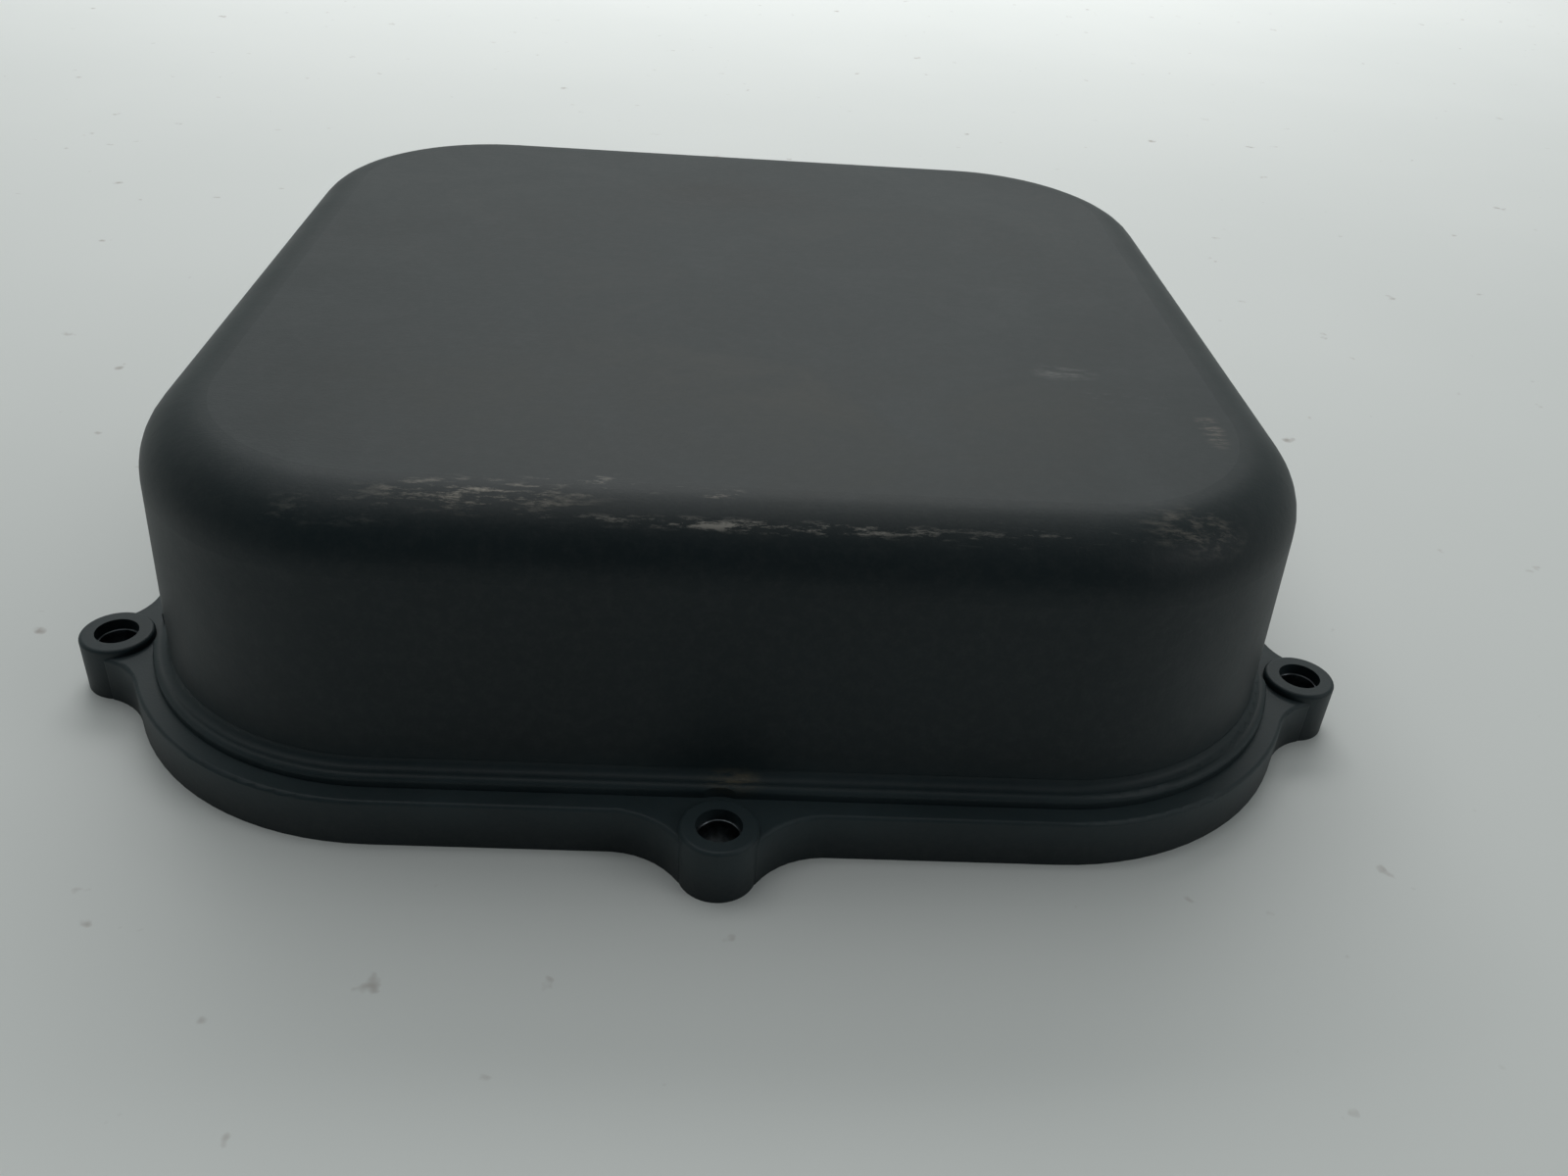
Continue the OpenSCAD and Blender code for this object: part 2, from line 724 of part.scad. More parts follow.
module wheel_circlip() {
    color("#55585a") at_hub() translate([0, 0, wheel_z + wheel_h + 0.05]) difference() {
        ring(12.4, 9.15, 1.1);
        translate([4, -3, -1]) cube([12, 6, 4]);
    }
}

// ---- travel encoder -----------------------------------------------------------------------

module encoder_pinion() {
    color("#e4e0d2") at_hub() translate([0, 0, encoder_z - 0.6]) difference() {
        flat_gear(pinion_teeth, encoder_module, encoder_t + 1.2);
        translate([0, 0, -1]) cylinder(r = 4, h = 10);
    }
}

module at_encoder() {
    translate([hub_x, encoder_y, 0]) children();
}

module encoder_post() {
    color("#c8cacc") at_encoder() {
        translate([0, 0, case_top + 0.2]) cylinder(r = post_r - 0.02, h = lid_t);
        translate([0, 0, case_top + lid_t]) cylinder(r = 4.2, h = 1.6);
        translate([0, 0, case_top + lid_t]) cylinder(r = post_r - fit, h = 7.6);
    }
}

// One tooth points straight at the pinion, which has a gap there.
module encoder_gear() {
    color("#e4e0d2") at_encoder() translate([0, 0, encoder_z]) difference() {
        union() {
            rotate(-90)
                flat_gear(encoder_teeth, encoder_module, encoder_t);
            cylinder(r = 6, h = encoder_t + 1.8);
            cylinder(r = 8, h = encoder_t + disc_lift);
        }
        translate([0, 0, -1]) cylinder(r = post_r, h = 10);
        for (i = [0 : 4])
            rotate(i * 72) translate([13, 0, -1]) cylinder(r = 4, h = 10);
    }
}

module encoder_disc() {
    color("#1f2123") at_encoder() translate([0, 0, encoder_z + encoder_t + disc_lift]) difference() {
        ring(disc_r, 6.02, disc_t);
        for (i = [0 : encoder_slots - 1])
            rotate((i + 0.5) * 360 / encoder_slots) translate([disc_r - 3.6, -0.8, -1])
                cube([2.4, 1.6, 3]);
        for (i = [0 : 4])
            rotate(i * 72) translate([13, 0, -1]) cylinder(r = 4, h = 10);
    }
}

module encoder_clip() {
    color("#55585a") at_encoder() translate([0, 0, encoder_z + encoder_t + 2.1])
        ring(4.4, post_r - fit, 0.7);
}

// Slotted light gate that straddles the disc's edge.
module optical_sensor() {
    color("#17191b") translate([hub_x, sensor_y, encoder_z - 3]) difference() {
        translate([-6, -4.6, 0]) cube([12, 9.4, 9]);
        translate([-7, -5, 2.2]) cube([14, 6.6, 5.6]);
    }
}

module sensor_bracket() {
    bracket_y = sensor_y + 1;
    sheet = 1.2;
    color("#b4b7b9") translate([hub_x - 6, bracket_y, 0]) {
        translate([0, 3.8, plate_t]) cube([12, sheet, encoder_z - 3 - plate_t]);
        difference() {
            translate([0, 3.8, plate_t]) cube([12, 9.6, sheet]);
            translate([6, 8.4, 0]) cylinder(r = 2, h = 10);
        }
        translate([0, -3, encoder_z - 3 - sheet]) cube([12, 6.9, sheet]);
    }
}

// ---- control board ------------------------------------------------------------------------

module control_board() {
    color("#1f5a38") difference() {
        translate([board_x - board_w / 2, board_y - board_d / 2, board_z])
            cube([board_w, board_d, board_t]);
        for (p = board_fixings)
            translate([p[0], p[1], board_z - 1]) cylinder(r = 1.7, h = 4);
    }
}

module board_standoffs() {
    color("#c9b26a") for (p = board_fixings)
        translate([p[0], p[1], plate_t]) difference() {
            cylinder(r = 3.2, h = board_z - plate_t);
            translate([0, 0, 2]) cylinder(r = 1.5, h = 20);
        }
}

module board_screws() {
    color("#c2c5c7") for (p = board_fixings)
        translate([p[0], p[1], board_top]) pan_screw(1.48, 2.9, 1.8, 7);
}

// A controller in a long package with legs, a small driver chip and the bridge rectifier.
module board_chips() {
    legs = 9;
    color("#16181a") {
        translate([43.6, -58, board_top + 0.6]) cube([6.8, 23, 3.4]);
        translate([42, -28, board_top]) cube([12, 4, 14]);
        translate([56.5, -47, board_top]) cube([5, 6, 1.6]);
    }
    color("#c2c5c7") for (i = [0 : legs - 1], s = [-1, 1])
        translate([47 + s * 3.7 - 0.3, -56.9 + i * 2.54, board_top]) cube([0.6, 0.9, 2.4]);
}

module relays() {
    color("#2a5f96") for (p = relay_spots)
        translate([p[0] - 7.7, p[1] - 9.5, board_top + 0.3]) cube([15.4, 19, 15.4]);
    color("#2a5f96") for (p = relay_spots, sx = [-1, 1], sy = [-1, 1])
        translate([p[0] + sx * 6.6 - 0.8, p[1] + sy * 8.4 - 0.8, board_top])
            cube([1.6, 1.6, 0.4]);
}

module reservoir_capacitor() {
    color("#25272b") translate([47, -10, board_top]) difference() {
        union() {
            cylinder(r = 9, h = 29);
            cylinder(r = 9.4, h = 1.6);
        }
        translate([0, 0, 3.4]) ring(12, 8.6, 1);
        for (a = [0, 60, 120])
            rotate(a) translate([-6, -0.3, 28.7]) cube([12, 0.6, 2]);
    }
}

module fuse_holder() {
    color("#c9b26a") translate([71, fuse_y, board_top]) for (s = [-1, 1])
        translate([s * 8.5 - 2, 0, 0]) difference() {
            translate([0, -3.4, 0]) cube([4, 6.8, 7]);
            translate([-1, 0, 5]) rotate([0, 90, 0]) cylinder(r = 2.62, h = 6);
            translate([-1, -1.7, 5]) cube([6, 3.4, 4]);
        }
}

module fuse() {
    color("#cfd6da") translate([60.5, fuse_y, board_top + 5]) rotate([0, 90, 0]) {
        cylinder(r = 2.6, h = 5.4);
        translate([0, 0, 5.3]) cylinder(r = 2.3, h = 10.4);
        translate([0, 0, 15.6]) cylinder(r = 2.6, h = 5.4);
    }
}

module heat_sink() {
    fins = 6;
    color("#2b2d30") translate([60, -24, board_top]) {
        cube([21, 2.4, 22]);
        for (i = [0 : fins - 1])
            translate([i * 3.88, 2, 0]) cube([1.6, 10, 22]);
    }
    color("#16181a") translate([65.5, -28.6, board_top + 3]) cube([10, 4.6, 15]);
}

// Six clamp terminals in a row along the board's front edge.
module board_terminals() {
    ways = 6;
    pitch = 6;
    color("#3b8a54") difference() {
        translate([board_terminal_x - pitch / 2, -75, board_top]) cube([ways * pitch, 9, 11]);
        for (i = [0 : ways - 1])
            translate([board_terminal_x + i * pitch, 0, board_top]) {
                translate([0, -70, 9]) cylinder(r = 2.2, h = 4);
                translate([-2, -76, 2]) cube([4, 5, 4.4]);
            }
    }
}

// Clamp screws of both terminal blocks, each with its slot.
module terminal_screws() {
    board_row = [for (i = [0 : 5]) [board_terminal_x + i * 6, -70, board_top + 9]];
    supply_rows = [for (i = [-1 : 1], s = [-1, 1])
        [terminal_x + i * 8, terminal_y + s * 4.4, plate_t + 9]];
    color("#c9b26a") for (p = concat(board_row, supply_rows))
        translate(p) difference() {
            cylinder(r = 2.05, h = 1.3);
            translate([-3, -0.3, 0.7]) cube([6, 0.6, 2]);
        }
}

// Screened receiver can with its aerial wire standing up and bent over.
module radio_receiver() {
    color("#b9bcbe") {
        translate([62, -46, board_top]) cube([18, 13, 3.4]);
        lead([[81.4, -36, board_top], [81.4, -36, 34], [81.4, -60, 40]], 0.6);
    }
}

module status_led() {
    color("#c23b2c") translate([80, -56, board_top]) {
        cylinder(r = 1.9, h = 1);
        cylinder(r = 1.5, h = 3.2);
        translate([0, 0, 3.2]) sphere(1.5);
    }
}

module button_bodies() {
    color("#303437") for (p = button_spots)
        translate([p[0] - 3.2, p[1] - 3.2, board_top]) difference() {
            cube([6.4, 6.4, 3.6]);
            translate([3.2, 3.2, 1.4]) cylinder(r = 1.8, h = 4);
        }
}

module button_cap(p, shade) {
    color(shade) translate([p[0], p[1], board_top + 2.2]) {
        cylinder(r = 1.7, h = 3.4);
        translate([0, 0, 2.2]) cylinder(r = 2.6, h = 1.6);
    }
}

module learn_button() {
    button_cap(button_spots[0], "#d8a32a");
}

module test_button() {
    button_cap(button_spots[1], "#c6c8c9");
}

module trimmer_bodies() {
    color("#2f62a8") for (p = trimmer_spots)
        translate([p[0] - 3.5, p[1] - 3.5, board_top]) difference() {
            cube([7, 7, 4.6]);
            translate([3.5, 3.5, 2.6]) cylinder(r = 1.25, h = 4);
        }
}

// Knob with a screwdriver slot, its pivot running in the body.
module trimmer_knob(p) {
    color("#e8e4d8") translate([p[0], p[1], board_top + 2.8]) difference() {
        union() {
            cylinder(r = 1.2, h = 3);
            translate([0, 0, 2.1]) cylinder(r = 2.7, h = 2);
        }
        translate([-3, -0.4, 3.2]) cube([6, 0.8, 2]);
    }
}

module open_force_knob() {
    trimmer_knob(trimmer_spots[0]);
}

module close_force_knob() {
    trimmer_knob(trimmer_spots[1]);
}

// ---- mains supply -------------------------------------------------------------------------

// Laminated core with two windows, and bent feet screwed to the plate.
module transformer_core() {
    color("#5d6063") translate([transformer_x, transformer_y, plate_t]) {
        difference() {
            translate([-22, -12, 1.2 - eps]) cube([44, 24, 36 + eps]);
            for (s = [-1, 1])
                translate([s * 11 - 4, -13, 7.4]) cube([8, 26, 23.6]);
        }
        difference() {
            translate([-29, -9, 0]) cube([58, 18, 1.2]);
            for (s = [-1, 1])
                translate([s * 25.5, 0, -1]) cylinder(r = 2, h = 4);
        }
    }
}

module transformer_coil() {
    color("#c9a44a") translate([transformer_x, transformer_y, plate_t + 7.6]) difference() {
        translate([-14.8, -20, 0]) cube([29.6, 40, 23.2]);
        translate([-7.1, -12.2, -1]) cube([14.2, 24.4, 26]);
        for (s = [-1, 1])
            translate([s * 22.9 - 8, -12.2, -1]) cube([16, 24.4, 26]);
    }
}

module supply_terminals() {
    ways = 3;
    pitch = 8;
    color("#e6e6e2") difference() {
        translate([terminal_x - ways * pitch / 2, terminal_y - 8, plate_t])
            cube([ways * pitch, 16, 13]);
        for (i = [0 : ways - 1], s = [-1, 1])
            translate([terminal_x + (i - 1) * pitch, terminal_y, plate_t]) {
                translate([0, s * 4.4, 9]) cylinder(r = 2.1, h = 6);
                translate([0, s * 9, 5]) rotate([90, 0, 0]) cylinder(r = 1.9, h = 6, center = true);
            }
    }
}

module cable_grommet() {
    color("#161616") translate([grommet_spot[0], grommet_spot[1], 0]) difference() {
        union() {
            translate([0, 0, 0.2]) cylinder(r = 6.25, h = plate_t);
            translate([0, 0, plate_t]) cylinder(r = 8.2, h = 1.8);
        }
        translate([0, 0, -1]) cylinder(r = 4, h = 8);
    }
}

// Leads, each held at both ends: motor to board, transformer to board and to the supply
// terminals, and the light gate's signal lead.
module internal_leads() {
    tail_y = motor_y0 - 5.6;
    run_y = tail_y - 1.6;
    mouth_z = board_top + 4;
    coil_y = transformer_y - 20.4;
    color("#a52a22") {
        lead([[motor_x + 12, tail_y, axis_z], [motor_x + 13, run_y, axis_z],
            [0, run_y, 22], [board_terminal_x - 2, run_y, mouth_z],
            [board_terminal_x, -75, mouth_z]], 0.9);
        lead([[transformer_x - 5, coil_y, 24], [transformer_x - 5, 22, 24],
            [transformer_x - 3, 10, 21], [transformer_x - 3, 2.6, 19],
            [transformer_x - 3, 2, board_top + 0.4]], 0.9);
    }
    color("#17191b") {
        lead([[motor_x - 12, tail_y, axis_z], [motor_x - 10, run_y, 22],
            [motor_x + 8, run_y, 12], [10, run_y, 12], [board_terminal_x + 4, run_y, 15],
            [board_terminal_x + 6, -75, mouth_z]], 0.9);
        lead([[transformer_x + 5, coil_y, 24], [transformer_x + 5, 22, 24],
            [transformer_x + 1, 10, 21], [transformer_x + 1, 2.6, 19],
            [transformer_x + 1, 2, board_top + 0.4]], 0.9);
    }
    color("#6b4a2f") for (i = [0, 1])
        lead([[terminal_x + i * 8, terminal_y - 8, 8], [terminal_x + i * 8, 40 + 4 * i, 8],
            [34 + 2 * i, 24 + 7 * i, 11], [48 - 4 * i, 22 + 4.5 * i, 14],
            [52 - 5 * i, coil_y, 14]], 0.9);
    color("#c9cbcc") lead([[hub_x + 6, sensor_y + 3, 44], [hub_x + 10, sensor_y + 3, 40],
        [hub_x + 12, sensor_y + 3, 8], [-3, 60, 6], [9, 45.5, 6], [12, 16, 6], [24, 6, 6],
        [27, 1, 7.5], [27.4, -1, board_z - 0.4]], 0.8);
}

cover();
lug_sleeves();
base_plate();
rim_gasket();
flush_screws();
motor_can();
motor_end_cap();
motor_magnets();
motor_brushes();
motor_bearings();
motor_shaft();
armature_core();
armature_windings();
commutator();
worm();
motor_saddle();
motor_strap();
sheet_screws();
gear_case();
gear_case_lid();
lid_screws();
worm_end_bush();
output_bush();
lid_bush();
output_seal();
output_hub();
worm_wheel();
wheel_key();
wheel_circlip();
encoder_pinion();
encoder_post();
encoder_gear();
encoder_disc();
encoder_clip();
optical_sensor();
sensor_bracket();
control_board();
board_standoffs();
board_screws();
board_chips();
relays();
reservoir_capacitor();
fuse_holder();
fuse();
heat_sink();
board_terminals();
terminal_screws();
radio_receiver();
status_led();
button_bodies();
learn_button();
test_button();
trimmer_bodies();
open_force_knob();
close_force_knob();
transformer_core();
transformer_coil();
supply_terminals();
cable_grommet();
internal_leads();
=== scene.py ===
"""Looks of a garage door opener head: a black moulded cover with six bolt lugs, standing rim down
over a zinc-plated base plate that carries a worm gearmotor, a travel encoder, a transformer and
the control board. Metres throughout; Z is up and -Y is the front."""

import math
import random

import bmesh
import bpy
from mathutils import Matrix, Vector


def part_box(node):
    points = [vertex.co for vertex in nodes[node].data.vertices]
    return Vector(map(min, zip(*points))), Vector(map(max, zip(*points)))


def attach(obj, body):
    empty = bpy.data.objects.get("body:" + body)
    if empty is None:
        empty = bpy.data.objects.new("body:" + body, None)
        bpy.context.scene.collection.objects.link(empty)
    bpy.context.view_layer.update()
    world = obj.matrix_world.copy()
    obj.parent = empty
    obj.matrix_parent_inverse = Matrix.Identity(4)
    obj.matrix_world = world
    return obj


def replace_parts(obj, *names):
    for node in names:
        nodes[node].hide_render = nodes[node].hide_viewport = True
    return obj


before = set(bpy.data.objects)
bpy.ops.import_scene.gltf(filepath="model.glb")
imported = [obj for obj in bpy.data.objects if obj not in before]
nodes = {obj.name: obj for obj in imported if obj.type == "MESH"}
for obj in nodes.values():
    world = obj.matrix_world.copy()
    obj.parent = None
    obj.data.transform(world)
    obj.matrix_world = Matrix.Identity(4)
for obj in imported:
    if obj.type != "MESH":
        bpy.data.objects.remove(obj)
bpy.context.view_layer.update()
mm = 0.001                          # sizes below are in millimetres, times this

# ---- camera -------------------------------------------------------------------------------
# A hand-held view from close in front, looking down at the flat top at about 33 degrees. The
# place is in mm, and the axes are a few degrees off level, as a hand holds them.
camera_data = bpy.data.cameras.new("camera")
camera_data.sensor_width = 36
camera_data.lens = 31.68
camera = bpy.data.objects.new("camera", camera_data)
held_at = Vector((-3.69, -268.57, 159.99)) * mm
right = Vector((0.9975, -0.0252, 0.0655)).normalized()
ahead = Vector((0.057, 0.834, -0.548)).normalized()
up = right.cross(ahead).normalized()
right = ahead.cross(up)
camera.matrix_world = (Matrix.Translation(held_at)
                       @ Matrix((right, up, -ahead)).transposed().to_4x4())
bpy.context.scene.collection.objects.link(camera)
bpy.context.scene.camera = camera
bpy.context.scene.view_settings.view_transform = "Standard"


# ---- room ---------------------------------------------------------------------------------
# A pale matt table top under soft light that comes from above and behind, so the top of the
# cover is bright and its front stands in its own shade.
def add(tree, kind, settings=None, links=None):
    """Adds a shader node: settings go to its own values or its sockets, links feed its sockets."""
    node = tree.nodes.new("ShaderNode" + kind)
    for key, value in (settings or {}).items():
        if hasattr(node, str(key)):
            setattr(node, key, value)
        else:
            node.inputs[key].default_value = value
    for key, source in (links or {}).items():
        tree.links.new(source, node.inputs[key])
    return node


def linear(code):
    """Turns an sRGB hex colour to the linear one that shaders take."""
    parts = [int(code[i:i + 2], 16) / 255 for i in (1, 3, 5)]
    return tuple(p / 12.92 if p <= 0.04045 else ((p + 0.055) / 1.055) ** 2.4
                 for p in parts) + (1,)


def new_material(name):
    """An empty material with its shader, ready for nodes."""
    made = bpy.data.materials.new(name)
    made.use_nodes = True
    made.node_tree.nodes.clear()
    tree = made.node_tree
    shader = add(tree, "BsdfPrincipled")
    output = add(tree, "OutputMaterial")
    tree.links.new(shader.outputs[0], output.inputs[0])
    return made, tree, shader


def link_new(name, mesh):
    """Puts a new mesh in the scene as an object of its own."""
    made = bpy.data.objects.new(name, mesh)
    bpy.context.scene.collection.objects.link(made)
    return made


# Laminate table top: an even pale grey with a low sheen. It is faintly clouded over about
# 170 mm, and grubby specks of 1 to 3 mm lie here and there.
laminate, tree, shader = new_material("table_laminate")
place = add(tree, "TexCoord").outputs["Object"]
cloud = add(tree, "TexNoise", {"Scale": 6, "Detail": 3}, {"Vector": place})
tint = add(tree, "MixRGB", {"Color1": linear("#e3e6e4"), "Color2": linear("#eceeec")},
           {"Fac": cloud.outputs[0]})
grime = add(tree, "TexNoise", {"Scale": 110, "Detail": 3}, {"Vector": place})
speck = add(tree, "MapRange", {"From Min": 0.7, "From Max": 0.78, "To Max": 0.6},
            {0: grime.outputs[0]})
grubby = add(tree, "MixRGB", {"Color2": linear("#8d7c72")},
             {"Fac": speck.outputs[0], "Color1": tint.outputs[0]})
tree.links.new(grubby.outputs[0], shader.inputs["Base Color"])
shader.inputs["Roughness"].default_value = 0.5
table_mesh = bpy.data.meshes.new("table")
half_table = 3                      # metres, so that the table runs past every view
plan = bmesh.new()
bmesh.ops.create_grid(plan, x_segments=12, y_segments=12, size=half_table)
plan.to_mesh(table_mesh)
plan.free()
table_mesh.materials.append(laminate)
table = link_new("table", table_mesh)

# The room is dark behind whoever looks, and pale where the window lights the far wall.
room = bpy.data.worlds.new("room")
bpy.context.scene.world = room
room.use_nodes = True
tree = room.node_tree
tree.nodes.clear()
look = add(tree, "SeparateXYZ", links={0: add(tree, "TexCoord").outputs["Generated"]})
behind = add(tree, "MapRange", {"From Min": -0.7, "From Max": 0.8}, {0: look.outputs["Y"]})
glow = add(tree, "MixRGB", {"Color1": linear("#343b40"), "Color2": linear("#bcc4c1")},
           {"Fac": behind.outputs[0]})
sky = add(tree, "Background", {"Strength": 0.8}, {"Color": glow.outputs[0]})
tree.links.new(sky.outputs[0], add(tree, "OutputWorld").inputs[0])

# Each lamp: where it hangs and what it lights, in metres, then its width and its watts.
for name, place, aim, size, power in (
        ("window", (0.05, 1.2, 1.0), (0, 1.6, 0), 1.3, 17),
        ("ceiling", (-0.3, 0.25, 1.5), (-0.05, 0.1, 0), 1.3, 5),
        ("doorway", (0.95, -0.45, 0.6), (0.05, 0, 0.02), 0.45, 1.1)):
    lamp_data = bpy.data.lights.new(name, "AREA")
    lamp_data.size = size
    lamp_data.energy = power
    lamp = bpy.data.objects.new(name, lamp_data)
    lamp.location = place
    lamp.rotation_euler = (Vector(aim) - Vector(place)).to_track_quat("-Z", "Y").to_euler()
    bpy.context.scene.collection.objects.link(lamp)

# ---- cover --------------------------------------------------------------------------------
# One injection moulding in black glass-filled nylon, out of a mould with a fine spark-eroded
# texture. Four screws from below hold it down, and its six lugs take the mounting bolts.
def soften(node, material, edge_mm=0.0, angle=35):
    """Gives a CAD node its material, smooth curved faces and, where asked, broken edges."""
    part = nodes[node]
    part.data.materials.clear()
    part.data.materials.append(material)
    part.data.shade_smooth()
    part.data.set_sharp_from_angle(angle=math.radians(angle))
    if edge_mm:
        weld = part.modifiers.new("weld", "WELD")
        weld.merge_threshold = 0.001 * mm
        edge = part.modifiers.new("edge", "BEVEL")
        edge.width = edge_mm * mm
        edge.segments = 2
        edge.limit_method = "ANGLE"
        edge.angle_limit = math.radians(40)
        edge.harden_normals = False
    return part


# Glass-filled nylon: near black with a cold cast, satin, with a fine pitted grain. Handling
# polishes it, so the top edges show pale rubs, short scratches and some trodden-in dust.
nylon, tree, shader = new_material("black_glass_filled_nylon")
place = add(tree, "TexCoord").outputs["Object"]


def around(centre_mm, reach_mm):
    """A soft mask in mm, one at a point on the cover and none past its reach on each axis."""
    shift = add(tree, "Mapping", {"vector_type": "TEXTURE",
                                  "Location": [c * mm for c in centre_mm],
                                  "Scale": [r * mm for r in reach_mm]}, {"Vector": place})
    off = add(tree, "VectorMath", {"operation": "LENGTH"}, {0: shift.outputs[0]})
    return add(tree, "MapRange", {"interpolation_type": "SMOOTHSTEP", "From Min": 1,
                                  "From Max": 0.15}, {0: off.outputs["Value"]}).outputs[0]


def tinted(body, shade, strength, region):
    """The body colour turned towards a shade, where both its pattern and its region are on."""
    on = add(tree, "Math", {"operation": "MULTIPLY"}, {0: strength, 1: region})
    return add(tree, "MixRGB", {"Color2": linear(shade)},
               {"Fac": on.outputs[0], "Color1": body}).outputs[0]


# The black itself drifts between two near shades over about 55 mm, as the resin flowed.
cloud = add(tree, "TexNoise", {"Scale": 18, "Detail": 5, "Roughness": 0.6}, {"Vector": place})
body = add(tree, "MixRGB", {"Color1": linear("#101a1d"), "Color2": linear("#19272b")},
           {"Fac": cloud.outputs[0]}).outputs[0]

# Broad pale hazing on the flat top, in patches of about 33 mm, and a stain near its back edge.
haze = add(tree, "TexNoise", {"Scale": 30, "Detail": 8, "Roughness": 0.7, "Distortion": 0.6},
           {"Vector": place})
haze_on = add(tree, "MapRange", {"From Min": 0.5, "From Max": 0.8}, {0: haze.outputs[0]})
body = tinted(body, "#3c3f3e", haze_on.outputs[0], around((10, -10, 57), (110, 110, 20)))
body = tinted(body, "#0c0d0e", haze.outputs[0], around((0, 56, 57), (34, 15, 20)))

# Dust has settled along the foot, on the bead and the stepped rim.
body = tinted(body, "#3a484c", haze.outputs[0], around((0, 0, 9), (320, 320, 8)))

# A mottle of 2 to 3 mm breaks up the flat top, and its front third has a film of brown dust.
fleck = add(tree, "TexNoise", {"Scale": 420, "Detail": 6, "Roughness": 0.8}, {"Vector": place})
fleck_on = add(tree, "MapRange", {"From Min": 0.45, "From Max": 0.7, "To Max": 0.3},
               {0: fleck.outputs[0]})
body = add(tree, "MixRGB", {"Color2": linear("#363a3b")},
           {"Fac": fleck_on.outputs[0], "Color1": body}).outputs[0]
dust = add(tree, "MapRange", {"From Min": 0.35, "From Max": 0.75, "To Max": 0.28},
           {0: haze.outputs[0]})
body = tinted(body, "#4a463c", dust.outputs[0], around((0, -62, 58), (110, 44, 9)))

# Rubs along the front top edge: streaks about 6 mm long and 1.4 mm wide that run with the
# edge. Each row gives a rub's centre and reach in mm, the levels of the streak pattern where it
# starts and is full, its shade and its strength.
streak_place = add(tree, "Mapping", {"Scale": (170, 700, 700), "Rotation": (0, 0, 0.1)},
                   {"Vector": place})
streak = add(tree, "TexNoise", {"Scale": 1, "Detail": 8, "Roughness": 0.75},
             {"Vector": streak_place.outputs[0]})
for centre, reach, low, high, shade, most in (
        ((-38, -89, 56.5), (22, 5, 4), 0.52, 0.64, "#948e84", 0.95),
        ((-20, -86, 57), (18, 4, 3), 0.56, 0.66, "#86827a", 0.8),
        ((-60, -92, 55), (20, 4, 4), 0.52, 0.68, "#62635f", 0.7),
        ((6, -92.4, 55), (46, 1.6, 1.6), 0.52, 0.62, "#9a968f", 0.9),
        ((-2, -87, 57), (5, 2.5, 2), 0.5, 0.6, "#8f8880", 0.8),
        ((45, -92, 55), (30, 3, 3), 0.57, 0.68, "#6b6a66", 0.7),
        ((71, -88, 55), (14, 6, 6), 0.48, 0.68, "#7d7870", 0.75),
        ((60, -37, 57), (8, 5, 4), 0.48, 0.66, "#7a7a78", 0.65),
        ((70, -48, 57), (14, 8, 4), 0.56, 0.68, "#6a6a68", 0.5),
        ((82, -58, 57), (3, 9, 4), 0.5, 0.62, "#7e766c", 0.8),
        ((2, -99.5, 11), (7, 3, 3), 0.42, 0.66, "#7d7158", 0.6)):
    on = add(tree, "MapRange", {"From Min": low, "From Max": high, "To Max": most},
             {0: streak.outputs[0]})
    body = tinted(body, shade, on.outputs[0], around(centre, reach))
tree.links.new(body, shader.inputs["Base Color"])

# The hazed patches are a little rougher than the rest. Fine pits, the slight waves of a thin
# wall and the scrapes of the rubs stand in relief.
polish = add(tree, "MapRange", {"To Min": 0.42, "To Max": 0.6}, {0: haze.outputs[0]})
tree.links.new(polish.outputs[0], shader.inputs["Roughness"])
grain_mm = 0.55                     # real pits are 0.1 mm; drawn coarser so that they show
pits = add(tree, "TexNoise", {"Scale": 1 / (grain_mm * mm), "Detail": 3}, {"Vector": place})
waves = add(tree, "TexNoise", {"Scale": 25, "Detail": 2}, {"Vector": place})
sink = add(tree, "Bump", {"Strength": 0.35, "Distance": 0.6 * mm}, {"Height": waves.outputs[0]})
skin = add(tree, "Bump", {"Strength": 0.3, "Distance": 0.08 * mm},
           {"Height": pits.outputs[0], "Normal": sink.outputs[0]})
scrape = add(tree, "Bump", {"Strength": 0.25, "Distance": 0.12 * mm},
             {"Height": streak.outputs[0], "Normal": skin.outputs[0]})
tree.links.new(scrape.outputs[0], shader.inputs["Normal"])
shader.inputs["IOR"].default_value = 1.53
shader.inputs["Specular IOR Level"].default_value = 0.33
soften("cover", nylon, angle=28)


# ---- ejector marks ------------------------------------------------------------------------
# Sixteen round witness marks, where the mould's ejector pins pushed the moulding off its core.
# They are part of the cover, in the same black nylon, and stand just proud of its ceiling.
def mesh_of(name, build, material, body):
    """Makes one piece: build fills a bmesh, then it takes its material and body."""
    shape = bmesh.new()
    build(shape)
    made_mesh = bpy.data.meshes.new(name)
    shape.to_mesh(made_mesh)
    shape.free()
    made_mesh.materials.append(material)
    made_mesh.shade_smooth()
    made_mesh.set_sharp_from_angle(angle=math.radians(35))
    made = link_new(name, made_mesh)
    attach(made, body)
    return made


